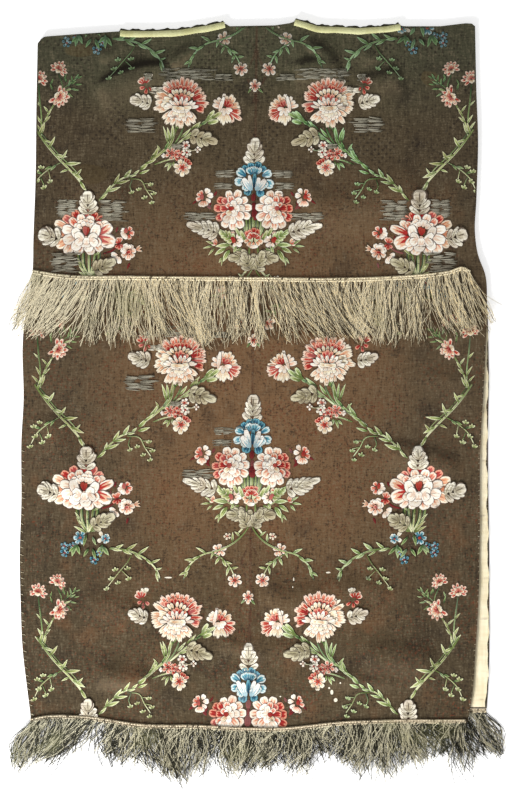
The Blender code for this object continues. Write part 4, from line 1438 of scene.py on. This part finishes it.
@dataclass
class Brocading:
    """The coloured figures: each petal, leaf and stem is a thin closed lens of silk on the cloth."""

    cloth: FrontCloth
    placings: list[Placing]
    crown: float = 0.02
    lift: float = 0.1
    keel: float = -0.25
    pressed: float = 0.86
    turned: float = 4.0
    stretched: float = 0.065
    widened: float = 0.08
    seed: int = 11
    margin: Pair = (0.0035, 0.0022)
    across: int = 5
    petal_rows: int = 8
    dash_rows: int = 4
    stem_rows: int = 26

    def spacing(self, rows: int) -> Array:
        """Shares of a lens's length at its rows, which lie closer together near its ends."""
        t = np.linspace(0, 1, rows)
        return t - 0.09 * np.sin(tau * t)

    def template(self, rows: int, across: int) -> tuple[Array, Array, Array, Faces]:
        """The net of one lens: a grid above and, from the same rim, two strips that meet in a line below.

        Args:
            rows: stations along it.
            across: points across it, an odd number.

        Returns:
            Each point's row, its across parameter, which points are lower ones, and the faces.
        """
        grid = np.arange(rows * across).reshape(rows, across)
        middle = across // 2
        keel = rows * across + np.arange(rows - 2)
        a, b, c, d = grid[:-1, :-1], grid[:-1, 1:], grid[1:, 1:], grid[1:, :-1]
        top = beside(a, d, c, b).reshape(-1, 4)
        right, left = grid[1:-1, 0], grid[1:-1, -1]
        strips = np.concatenate([
            beside(right[:-1], keel[:-1], keel[1:], right[1:]),
            beside(keel[:-1], left[:-1], left[1:], keel[1:]),
        ])
        ends = np.stack([
            [*grid[0, :middle + 1], keel[0], right[0]],
            [*grid[0, middle:], left[0], keel[0]],
            [right[-1], keel[-1], *grid[-1, middle::-1]],
            [keel[-1], left[-1], *grid[-1, :middle - 1:-1]],
        ])
        row = np.concatenate([np.repeat(np.arange(rows), across), np.arange(1, rows - 1)])
        side = np.concatenate([np.tile(np.linspace(-1, 1, across), rows), np.zeros(rows - 2)])
        under = np.arange(len(row)) >= rows * across
        return row, side, under, [np.concatenate([top, strips]), ends]

    def petal_arrays(self, rows: Array, mirror: float, stations: int) -> tuple[Array, Array]:
        """Centre lines and half widths of petals.

        Args:
            rows: each (x, y, angle, length, width, bend, lean, fullness, notch, level), in cords.
            mirror: 1 as charted, -1 turned over the middle line.
            stations: how many points each centre line has.

        Returns:
            The centre lines (petals, stations, 2) and the half widths (petals, stations).
        """
        x, y, angle, length, width, bend, lean, fullness = rows[:, :8].T[:, :, None]
        v = self.spacing(stations)[None, :]
        turn = np.radians(angle + bend * (v - 0.5))
        step = length * np.diff(v, prepend=0.0)
        cx = x + np.cumsum(np.cos(turn) * step, axis=1)
        cy = y + np.cumsum(np.sin(turn) * step, axis=1)
        inside = 0.03 + 0.955 * v
        half = 0.5 * width * np.sin(pi * inside**lean) ** fullness
        return beside(mirror * cx, cy), np.maximum(half, 0.08)

    def stem_arrays(self, stem: tuple, mirror: float) -> tuple[Array, Array]:
        """The centre line and half width of a stem.

        Args:
            stem: its points and its width, and what the chart says besides.
            mirror: 1 as charted, -1 turned over the middle line.

        Returns:
            A smooth curve through its points (1, stations, 2) and half widths that taper at its ends.
        """
        points, width = np.array(stem[0], float), stem[1]
        gaps = np.hypot(*np.diff(points, axis=0).T)
        at = np.concatenate([[0], np.cumsum(gaps)])
        t = self.spacing(self.stem_rows) * at[-1]
        line = np.stack([smooth(list(zip(at, points[:, k])), t) for k in (0, 1)], axis=-1)
        line[:, 0] *= mirror
        share = t / at[-1]
        half = 0.5 * width * (0.55 + 0.45 * np.sin(pi * share) ** 0.4) * (1 + 0.08 * np.sin(9 * share))
        return line[None], half[None]

    def lay(
        self, line: Array, half: Array, notch: Array, level: Array, height: float,
    ) -> tuple[Array, Array, Array, Array]:
        """Lays lenses on the cloth.

        Args:
            line: centre lines in cords from a figure's middle (lenses, stations, 2).
            half: half widths in cords (lenses, stations).
            notch: how far the middle of each tip is drawn back, as a share of its length.
            level: how high each one's rim lies on what is under it, in millimetres.
            height: the figure's height up the mantle, in millimetres.

        Returns:
            Points in millimetres, faces, the weave attribute, and which lenses are on the cloth.
        """
        rows = line.shape[1]
        station, side, under, faces = self.template(rows, 3 if rows == self.dash_rows else self.across)
        along = self.spacing(rows)[station]
        run = np.gradient(line, axis=1)
        size = np.maximum(np.hypot(run[..., 0], run[..., 1]), 1e-6)
        out = beside(-run[..., 1], run[..., 0]) / size[..., None]
        back = notch[:, None] * np.exp(-((side / 0.35) ** 2)) * along**5
        length = size.sum(axis=1)[:, None]
        place = line[:, station] + out[:, station] * (half[:, station] * side)[..., None]
        place -= (run / size[..., None])[:, station] * (back * length)[..., None]
        y = height + CORD * place[..., 1]
        x = smooth(MIDDLE_LINE, y) + CORD * place[..., 0] * straight(DRAWN_IN, y)
        share, up = self.cloth.to_shares(x, y)
        low, high = self.margin[0], 1 - self.margin[0]
        bottom, top = self.margin[1], 1 - self.margin[1]
        kept = ((share > low) & (share < high) & (up > bottom) & (up < top)).mean(axis=1) > 0.34
        share, up = np.clip(share, low, high), np.clip(up, bottom, top)
        x, y = self.cloth.to_cloth(share, up)
        dome = (1 - side**2) * np.sin(pi * np.clip(along, 0.02, 0.98)) ** 0.5
        rise = level[:, None] + self.crown * dome[None] * np.minimum(1.6, half.max(axis=1)[:, None] / 2.2)
        covered = ramp((y - 54) / 8) * ramp((smooth(WAIST_LINE, x) + 1.5 - y) / 1.5)
        covered = np.maximum(covered, ramp((smooth(HEM_LINE, x) + 1 - y) / 1.5))
        proud = np.where(under[None], self.keel, rise * (1 - self.pressed * covered))
        z = self.cloth.height_at(share, up) + proud
        weave = beside(side, np.broadcast_to(along, x.shape))
        return beside(x, y, z)[kept], faces, weave[kept], kept

    def build(self, finishes: dict[Family, Material]) -> list[Object]:
        """Makes one piece for each family of figures.

        Args:
            finishes: each family's material.

        Returns:
            The pieces.
        """
        rng = np.random.default_rng(self.seed)
        gathered: dict[Family, list[tuple]] = {family: [] for family in Family}
        for placing in self.placings:
            for height in placing.heights:
                for mirror in (1.0, -1.0) if placing.mirrored else (1.0,):
                    self.gather(placing, height, mirror, rng, gathered)
        return [self.join(family, gathered[family], finishes[family]) for family in Family]

    def gather(
        self, placing: Placing, height: float, mirror: float, rng: np.random.Generator,
        gathered: dict[Family, list[tuple]],
    ) -> None:
        """Lays one copy of a figure and files its lenses by family, each a little uneven.

        Args:
            placing: the figure.
            height: the copy's height up the mantle.
            mirror: 1 as charted, -1 turned over the middle line.
            rng: the brocading's random numbers.
            gathered: each family's shelf of laid lenses.
        """
        chart = placing.chart
        bare = placing.bare + (placing.left_bare if mirror > 0 else ())
        for family in Family:
            if family is Family.WEFT and height not in bare:
                continue
            mine = [(row, shade) for row, shade, kind in chart.petals if kind is family]
            if mine:
                rows = np.array([row for row, _ in mine], float)
                rows[:, 0] -= placing.out
                rows[:, 2] += rng.normal(0, self.turned, len(rows))
                for column, spread in ((3, self.stretched), (4, self.widened)):
                    rows[:, column] *= rng.normal(1, spread, len(rows))
                stations = self.dash_rows if family is Family.WEFT else self.petal_rows
                line, half = self.petal_arrays(rows, mirror, stations)
                laid = self.lay(line, half, rows[:, 8], self.lift + rows[:, 9], height)
                self.file(laid, [shade for _, shade in mine], rng, gathered[family])
        for stem in chart.stems:
            points = tuple((x - placing.out, y) for x, y in stem[0])
            line, half = self.stem_arrays((points, *stem[1:]), mirror)
            laid = self.lay(line, half, np.zeros(1), np.array([self.lift + stem[4]]), height)
            self.file(laid, [stem[2]], rng, gathered[stem[3]])

    def file(self, laid: tuple, shades: list[Shade], rng: np.random.Generator, shelf: list[tuple]) -> None:
        """Puts laid lenses with their colours on a family's shelf, with one tone for each.

        Args:
            laid: what the laying gave: points, faces, weave, and which lenses are on the cloth.
            shades: the lenses' silks.
            rng: the brocading's random numbers.
            shelf: the family's shelf.
        """
        points, faces, weave, kept = laid
        tones = rng.uniform(0, 1, len(kept))[kept]
        colours = np.array([shade.value for shade in shades])[kept]
        if len(points):
            shelf.append((points, faces, weave, tones, colours))

    def join(self, family: Family, shelf: list[tuple], finish: Material) -> Object:
        """Joins a family's lenses into one piece with its attributes.

        Args:
            family: which family.
            shelf: its laid lenses.
            finish: its material.

        Returns:
            The piece.
        """
        points, faces, weaves, colours, start = [], [], [], [], 0
        for place, net, weave, tones, shades in shelf:
            count, size = place.shape[:2]
            starts = start + size * np.arange(count)
            faces += [(part[None] + starts[:, None, None]).reshape(-1, part.shape[1]) for part in net]
            points.append(place.reshape(-1, 3))
            weaves.append(beside(weave[..., 0], weave[..., 1], tones[:, None]).reshape(-1, 3))
            colours.append(np.repeat(shades, size, axis=0))
            start += count * size
        piece = make_piece(family.value, np.concatenate(points), faces, finish)
        paint(piece, "weave", np.concatenate(weaves))
        shades = np.concatenate(colours)
        for k, name in enumerate(("heart", "blade", "rim")):
            paint(piece, name, beside(*shades[:, k].T, 1.0), "FLOAT_COLOR")
        return piece


@dataclass
class Fringe:
    """Metal threads on a woven heading, swept aside and clotted as its table of locks says."""

    name: str
    line: Table
    locks: list[tuple[float, float, float]]
    count: int
    base: float
    fall: tuple[float, ...]
    replaces: str
    seed: int
    gaps: tuple[tuple[float, float, float], ...] = ()
    thick: float = 0.37
    stray: float = 11.0
    curl: float = 3.0
    crowd: float = 1.0
    sides: int = 3
    swirl: float = 3.0
    shine: float = 0.38
    dulled: float = 0.17
    ragged: float = 0.06
    stations: int = 9
    layers: int = 4

    def threads(self) -> tuple[Array, Array, Array]:
        """Paths of the threads: a root on the heading, a sweep that grows towards the tip, a weak wave.

        Returns:
            Paths (threads, stations, 3), radii (threads, stations), and a tone for each thread, paler on the
            upper layers as painted light.
        """
        rng = np.random.default_rng(self.seed)
        table = np.array(self.locks, float)
        first, last = self.line[0][0], self.line[-1][0]
        spaced = np.linspace(0, 1, self.count) ** self.crowd
        root = first + (last - first) * spaced + rng.normal(0, 0.9, self.count)
        missing = sum(share * np.exp(-(((root - place) / reach) ** 2)) for place, reach, share in self.gaps)
        root = np.clip(root[rng.uniform(0, 1, self.count) > missing], first, last)
        count = len(root)
        t = np.linspace(0, 1, self.stations)[None, :]
        lean = np.interp(root, table[:, 0], table[:, 1])
        drop = np.interp(root, table[:, 0], table[:, 2])
        clot = 4.4 * np.sin(root / 4.1 + 1.5 * np.sin(root / 17)) + 2.4 * np.sin(root / 1.9)
        crossing = rng.normal(0, self.stray, count) * rng.uniform(0, 1, count)
        lean = lean - clot + crossing
        tip = root + lean
        lean = lean - 0.75 * (tip - np.clip(tip, *TIP_REACH))
        drop = drop * rng.normal(1.0, self.ragged, count) * np.where(rng.uniform(0, 1, count) < 0.1, 0.7, 1)
        drop = drop * (1 + 0.6 * self.ragged * np.sin(root / 3.1 + 2 * np.sin(root / 11)))
        hangs_out = rng.uniform(0, 1, count) < self.ragged
        drop = drop * np.where(hangs_out, rng.uniform(1.02, 1 + 2.4 * self.ragged, count), 1)
        turns, phase = rng.uniform(0.5, 1.5, (count, 1)), rng.uniform(0, tau, (count, 1))
        wave = rng.normal(0, self.curl, (count, 1)) * np.sin(tau * t * turns + phase) * t**0.5
        bow = rng.normal(0, 1.6 * self.curl, (count, 1)) * np.sin(pi * t)
        shared = self.swirl * np.sin(root / 6.3 + 2.1 * np.sin(root / 23) + self.seed)
        bow = bow + shared[:, None] * np.sin(pi * t)
        sweep = np.where(lean > 0, 1.5, 1.2)[:, None]
        x = root[:, None] + lean[:, None] * t**sweep + wave + bow
        high, hang = smooth(self.line, root) - 0.72 * HEADING_WIDTH, drop - 0.6 * HEADING_WIDTH
        y = high[:, None] - hang[:, None] * t
        layer = rng.integers(0, self.layers, count)[:, None]
        fall = np.interp(t, np.linspace(0, 1, len(self.fall)), self.fall)
        z = self.base + self.thick + layer * self.thick + fall + 0.05 * np.abs(wave)
        radius = self.thick * rng.uniform(0.72, 1.15, (count, 1)) * (1 - 0.25 * t**3)
        # Painted light and shade: threads on the upper layers get paler tones, and the lower ones, in the
        # upper ones' shade, get darker tones.
        painted_layer_light = layer[:, 0] / max(self.layers - 1, 1)
        tone = np.clip(self.shine + 0.45 * painted_layer_light + rng.normal(0, 0.3, count), 0, 1)
        tone = np.where(rng.uniform(0, 1, count) < self.dulled, 0.0, tone)
        return beside(x, y, np.maximum(z, radius + 0.05)), radius, tone

    def build_threads(self, finish: Material) -> Object:
        """Makes the threads as tapered tubes along their paths.

        Args:
            finish: its material.

        Returns:
            The piece.
        """
        path, radius, tone = self.threads()
        points, faces = tubes(path, radius, self.sides)
        piece = make_piece(self.name, points.reshape(-1, 3), faces, finish)
        length = np.cumsum(np.linalg.norm(np.diff(path, axis=1, prepend=path[:, :1]), axis=-1), axis=1)
        weave = beside(np.arange(self.sides) / self.sides, length[:, :, None], tone[:, None, None])
        paint(piece, "weave", weave.reshape(-1, 3))
        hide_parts(self.replaces)
        return piece

    def build_heading(self, finish: Material) -> Object:
        """Makes the heading: a flat band under two rows of slanted turns of thread.

        Args:
            finish: its material.

        Returns:
            The piece.
        """
        first, last = self.line[0][0], self.line[-1][0]
        pitch, rows, around = 1.75, 2, 5
        count = int((last - first) / pitch)
        middle = np.linspace(first + pitch / 2, last - pitch / 2, count)
        top = smooth(self.line, middle)
        t = np.linspace(0, 1, 4)[None, :]
        paths, radii = [], []
        reach = HEADING_WIDTH / rows
        for row in range(rows):
            lean = (1 if row % 2 else -1) * 1.2
            x = middle[:, None] + lean * (t - 0.5)
            y = top[:, None] - reach * (row + 0.03 + 0.94 * t)
            paths.append(beside(x, y, self.base + 0.75 + 0.55 * np.sin(pi * t)))
            radii.append(np.broadcast_to(0.34 + 0.42 * np.sin(pi * t), x.shape))
        path, radius = np.concatenate(paths), np.concatenate(radii)
        points, faces = tubes(path, radius, around)
        stations = np.linspace(first, last, 160)
        high = smooth(self.line, stations)
        band = [(0.1, 0.1), (0.0, 0.6), (HEADING_WIDTH, 0.6), (HEADING_WIDTH - 0.1, 0.1)]
        strip = np.stack([beside(stations, high - y, self.base + z) for y, z in band], axis=1)
        lines = points.size // 3 + np.arange(len(stations) * 4).reshape(-1, 4)
        c, d = lines[:-1], lines[1:]
        band_walls = beside(c, np.roll(c, -1, axis=1), np.roll(d, -1, axis=1), d).reshape(-1, 4)
        band_ends = np.stack([lines[0][::-1], lines[-1]])
        piece = make_piece(
            self.name + "_heading", np.concatenate([points.reshape(-1, 3), strip.reshape(-1, 3)]),
            [*faces, band_walls, band_ends], finish,
        )
        rng = np.random.default_rng(self.seed + 1)
        tone = np.clip(rng.normal(0.62, 0.22, len(path)), 0, 1)
        weave = beside(np.arange(around) / around, (t * 2.2)[..., None], tone[:, None, None]).reshape(-1, 3)
        band_tone = 0.36
        under = beside(0.0, np.repeat(stations, 4), band_tone)
        paint(piece, "weave", np.concatenate([weave, under]))
        return piece


@dataclass
class StaveTape:
    """Yellow tape over a stave opening's edge: a section carried along the dip, turned down outside."""

    name: str
    ends: Pair
    width: float = 6.0
    thick: float = 0.8
    stations: int = 90

    def build(self, finish: Material) -> Object:
        """Makes the tape, which pulls in and out a little where it is eased round the dip.

        Args:
            finish: its material.

        Returns:
            The piece.
        """
        x = np.linspace(*self.ends, self.stations)
        y = straight(TOP_EDGE, x)
        kernel = np.ones(5) / 5
        y = np.convolve(np.pad(y, 2, mode="edge"), kernel, mode="valid")
        run_x, run_y = np.gradient(x), np.gradient(y)
        size = np.hypot(run_x, run_y)
        out = beside(-run_y / size, run_x / size)
        uneven = 0.25 * np.sin(x / 7) + 0.12 * np.sin(x / 2.9 + 1)
        face, crown, foot = FRINGE_BASE, FRINGE_BASE + self.thick, FRONT_BASE - 0.3
        lip, skin = 0.3, 0.3 + self.thick
        section = [
            (-self.width, face), (-self.width, crown - 0.25), (-self.width + 0.3, crown),
            (-3.2, crown + 0.1), (skin - 0.5, crown), (skin, crown - 0.4), (skin, foot), (lip, foot),
            (lip, face - 0.05),
        ]
        profile = np.array(section)
        off = profile[None, :, 0] + uneven[:, None] * (profile[None, :, 0] < -self.width + 0.5)
        place = beside(x, y)[:, None] + out[:, None] * off[..., None]
        rise = np.broadcast_to(profile[None, :, 1:], (self.stations, len(section), 1))
        points = np.concatenate([place, rise], axis=-1)
        index = np.arange(points.size // 3).reshape(points.shape[:2])
        faces = [walls(index[:-1], index[1:]), np.stack([index[0], index[-1][::-1]])]
        piece = make_piece(self.name + "_ribbed", points.reshape(-1, 3), faces, finish)
        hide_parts(self.name)
        return piece


class StitchRow(NamedTuple):
    """Overcast stitches up an edge, in millimetres.

    The edge's table and the heights it spans, the stitches' pitch, their reach inside and past the edge,
    their slant, the height of the face they lie on, and which way is out.
    """

    edge: Table
    span: Pair
    pitch: float
    inner: float
    outer: float
    slant: float
    face: float
    outward: int


@dataclass
class EdgeStitches:
    """Hand sewing that shows: whip stitches at the panels' sides and small ones along the tapes."""

    rows: tuple[StitchRow, ...] = (
        StitchRow(LEFT_EDGE, (-372, -60), 9.3, 4.4, 0.1, 1.6, FRONT_TOP, -1),
        StitchRow(RIGHT_EDGE, (-366, 62), 7.0, 1.9, 0.1, 0.4, FRONT_TOP, 1),
        StitchRow(BACK_RIGHT_EDGE, (-340, 112), 3.7, 2.6, -1.4, 0.5, LINING_TOP + 0.35, 1),
    )
    tape_pitch: float = 4.2
    thick: float = 0.24
    seed: int = 21

    def ticks(self) -> tuple[Array, Array, Array]:
        """Where each stitch starts and ends, and the face that it lies on."""
        rng = np.random.default_rng(self.seed)
        starts, ends, faces = [], [], []
        for row in self.rows:
            y = np.arange(*row.span, row.pitch)
            y = y + rng.normal(0, 0.12 * row.pitch, len(y))
            edge = smooth(row.edge, y)
            starts.append(beside(edge - row.outward * row.inner * rng.uniform(0.75, 1.1, len(y)), y))
            ends.append(beside(edge + row.outward * row.outer, y + row.slant))
            faces.append(np.full(len(y), row.face))
        for low, high in STAVE_OPENINGS.values():
            x = np.arange(low + 2, high - 2, self.tape_pitch)
            x = x + rng.normal(0, 0.3, len(x))
            y = straight(TOP_EDGE, x)
            starts.append(beside(x, y - 6.7))
            ends.append(beside(x + 0.8, y - 5.1))
            faces.append(np.full(len(x), FRINGE_BASE + 0.62))
        return np.concatenate(starts), np.concatenate(ends), np.concatenate(faces)

    def build(self, finish: Material) -> Object:
        """Makes the stitches as tapered tubes that arch from one end to the other.

        Args:
            finish: its material.

        Returns:
            The piece.
        """
        start, end, face = self.ticks()
        t = np.linspace(0, 1, 5)[None, :, None]
        flat = start[:, None] * (1 - t) + end[:, None] * t
        arch = np.sin(pi * t)
        rise = face[:, None, None] + 0.5 * self.thick + 0.22 * arch - 0.3 * (1 - arch) * (t > 0.5)
        path = np.concatenate([flat, rise], axis=-1)
        radius = np.broadcast_to(self.thick * (0.45 + 0.55 * arch[..., 0]), path.shape[:2])
        points, faces = tubes(path, radius, 4)
        return make_piece("edge_stitches", points.reshape(-1, 3), faces, finish)


@dataclass
class FlatCloth:
    """A cloth that lies flat under the front panel: a grid between two sides, a hem and a top edge."""

    name: str
    replaces: str
    slot: str
    base: float
    top: float
    inset: float
    lip: float
    ripple: float
    rows: int = 130
    columns: int = 60

    def grid(self) -> tuple[Array, Array]:
        """Places of the grid's points: shares across between the sides, shares up between hem and top."""
        share, up = np.meshgrid(np.linspace(0, 1, self.columns), np.linspace(0, 1, self.rows))
        over = TOP_EDGE[0][0] + 2 + share * (TOP_EDGE[-1][0] - TOP_EDGE[0][0] - 4)
        high = straight(TOP_EDGE, over) - 1.5 - self.inset
        for low, end in STAVE_OPENINGS.values():
            ragged = self.lip * (1 + 0.22 * np.sin(over / 2.9) + 0.15 * np.sin(over / 1.3))
            high = np.where((over > low) & (over < end), straight(TOP_EDGE, over) + ragged, high)
        y = BACK_HEM + self.inset + up * (high - BACK_HEM - self.inset)
        left, right = smooth(LEFT_EDGE, y) + 1.5 + self.inset, smooth(BACK_RIGHT_EDGE, y) - self.inset
        right = right + self.ripple * (0.9 * np.sin(y / 9) + 0.6 * np.sin(y / 3.7 + 1))
        return left + share * (right - left), y

    def build(self, finish: Material) -> Object:
        """Makes the cloth, with a low ripple on its upper face.

        Args:
            finish: its material.

        Returns:
            The piece.
        """
        x, y = self.grid()
        bulge = self.ripple * 0.25 * (np.sin(y / 11 + x / 23) + np.sin(x / 6) * np.sin(y / 5) + 2)
        lower = beside(x, y, self.base).reshape(-1, 3)
        upper = beside(x, y, self.top + np.minimum(bulge, 0.6)).reshape(-1, 3)
        points = np.concatenate([lower, upper])
        piece = make_piece(self.name, points, quilt_faces(self.rows, self.columns), finish)
        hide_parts(self.replaces)
        return piece

    def area(self) -> float:
        """The cloth's flat area in square metres."""
        x, y = self.grid()
        return float((np.diff(x, axis=1)[:-1] * np.diff(y, axis=0)[:, :-1]).sum()) * MM * MM


@dataclass
class Studio:
    """A pale floor, soft light and a camera that looks straight down."""

    photo: Pair = (510 * CORD, 800 * CORD)
    middle: Pair = (-1.6, -3.6)
    distance: float = 2.6
    floor_half: float = 12.0
    floor_level: float = -0.0002

    def build(self) -> None:
        """Adds the floor, the lights and the camera."""
        scene = bpy.context.scene
        scene.view_settings.view_transform = "Standard"
        mesh = bpy.data.meshes.new("floor")
        half = self.floor_half
        square = ((-half, -half), (half, -half), (half, half), (-half, half))
        mesh.from_pydata([(x, y, self.floor_level) for x, y in square], [], [(0, 1, 2, 3)])
        g = Graph("floor_paper")
        shade = g.mix(g.noise(3, 2), (0.9, 0.9, 0.9), (0.93, 0.93, 0.93))
        white = (1.0, 1.0, 1.0, 1.0)
        glow = {"Roughness": 0.9, "Emission Color": white, "Emission Strength": 0.46}
        mesh.materials.append(g.finish({"Base Color": shade}, glow))
        add_object("floor", mesh)

        world = bpy.data.worlds.new("studio")
        world.use_nodes = True
        sky = world.node_tree.nodes["Background"].inputs
        sky["Color"].default_value = white
        sky["Strength"].default_value = 0.38
        scene.world = world
        self.lamp("key", (-1.35, -2.3, 0.95), 1.0, 185)
        self.lamp("fill", (0.9, 1.2, 2.4), 1.8, 9)

        camera = bpy.data.cameras.new("camera")
        camera.sensor_width = 36.0
        camera.lens = camera.sensor_width * self.distance / (self.photo[1] * MM)
        place = (self.middle[0] * MM, self.middle[1] * MM, self.distance)
        scene.camera = add_object("camera", camera, place)

    def lamp(self, name: str, place: tuple[float, float, float], size: float, power: float) -> None:
        """Adds a square soft light that faces the mantle's middle.

        Args:
            name: its name.
            place: where it stands, in metres.
            size: its side in metres.
            power: its power in watts.
        """
        light = bpy.data.lights.new(name, "AREA")
        light.size, light.energy = size, power
        made = add_object(name, light, place)
        made.rotation_euler = (-Vector(place)).to_track_quat("-Z", "Y").to_euler()


def main() -> None:
    """Builds the studio and the mantle's pieces, and reports each one."""
    logging.basicConfig(level=logging.INFO, format="%(message)s")
    Studio().build()
    ground = GroundFinish().build("brown_silk")
    silk = SilkFinish().build("brocading_silk")
    metal = SilkFinish(
        rough=0.45, metal=0.1, hatch=0.04, outline=0.96, veins=0.85, teeth=5.0, sparse=0.62, inked=0.7
    ).build("brocading_silver")
    gilt = ThreadFinish().build("waist_metal_thread")
    grey = ThreadFinish(
        pale=(0.72, 0.66, 0.46), mid=(0.13, 0.115, 0.066), dark=(0.016, 0.015, 0.008), tarnish=0.25,
        turned=0.6,
    ).build("hem_metal_thread")
    cord = ThreadFinish(
        pale=(0.78, 0.66, 0.46), mid=(0.4, 0.32, 0.2), tarnish=0.2
    ).build("heading_metal_thread")
    tape = PlainWeaveFinish(
        light=(0.76, 0.76, 0.42), shade=(0.6, 0.58, 0.27), stain=(0.33, 0.3, 0.13), ribbed=True,
        stained=0.35,
    ).build("yellow_tape")
    cream = PlainWeaveFinish().build("cream_linen")

    back = FlatCloth(
        "back_cloth", "back_panel", "brocade", 0.0, BACK_TOP - 0.2, inset=0.0, lip=3.8, ripple=0.1,
        rows=50, columns=150,
    )
    lining = FlatCloth(
        "cream_lining", "back_lining", "lining", LINING_BASE, LINING_TOP - 0.3, inset=1.5, lip=-2.0,
        ripple=1.0,
    )
    back_piece, lining_piece = back.build(ground), lining.build(cream)
    back.area()
    lining.area()

    cloth = FrontCloth()
    # The front's silk: real worn holes and stains, and painted shade and painted highlight on its creases.
    worn = GroundFinish(holes=WORN_HOLES, stains=STAINS, slope_shaded=True).build("worn_brown_silk_with_painted_shade")
    front = cloth.build(worn)
    placings = [
        Placing(carnation_chart(), 73.6, (347.4, 46.8, -252.8), (347.4,), (46.8,)),
        Placing(rose_chart(), 167.4, (490.5, 193.0, -104.8, -400.2), (193.0,)),
        Placing(sprig_chart(), 196.0, (350.9, 56.1, -248.1)),
        Placing(bouquet_half_chart(), 0.0, (552.7, 255.6, -44.5, -335.2), (255.6,), (-44.5,)),
        Placing(bouquet_centre_chart(), 0.0, (552.7, 255.6, -44.5, -335.2), mirrored=False),
    ]
    green = SilkFinish(cool=0.7).build("brocading_green_silk")
    picks = SilkFinish(rough=0.5, hatch=0.02, outline=0.12, wear=0.42).build("bare_metal_picks")
    finishes = dict.fromkeys(Family, silk)
    finishes |= {Family.GREEN: green, Family.SILVER: metal, Family.WEFT: picks}
    Brocading(cloth, placings).build(finishes)

    trims = [StaveTape(name, ends).build(tape) for name, ends in STAVE_OPENINGS.items()]
    waist = Fringe(
        "waist_fringe_threads", WAIST_LINE, WAIST_LOCKS, 1560, FRINGE_BASE, (0, 0), "waist_fringe", 3,
        WAIST_GAPS,
    )
    hem = Fringe(
        "hem_fringe_threads", HEM_LINE, HEM_LOCKS, 2300, FRINGE_BASE, (0, -1.2, -2.4, -2.6), "hem_fringe", 5,
        HEM_GAPS, thick=0.43, stray=14.0, curl=4.4, swirl=6.0, shine=0.04, dulled=0.25, ragged=0.12,
    )
    back_hem = Fringe(
        "back_hem_fringe_threads", BACK_HEM_LINE, BACK_LOCKS, 900, 0.0, (0, 0), "back_hem_fringe", 7,
        thick=0.46, stray=15.0, curl=4.6, swirl=6.0, crowd=0.5, layers=2, shine=-0.05, dulled=0.45,
        ragged=0.08,
    )
    for fringe, finish, over in ((waist, gilt, gilt), (hem, grey, cord), (back_hem, grey, cord)):
        trims += [fringe.build_threads(finish), fringe.build_heading(over)]
    trims.append(EdgeStitches().build(PlainWeaveFinish(stained=0.2, thread=0.0004).build("sewing_thread")))
    cloth.area()


if __name__ == "__main__":
    main()
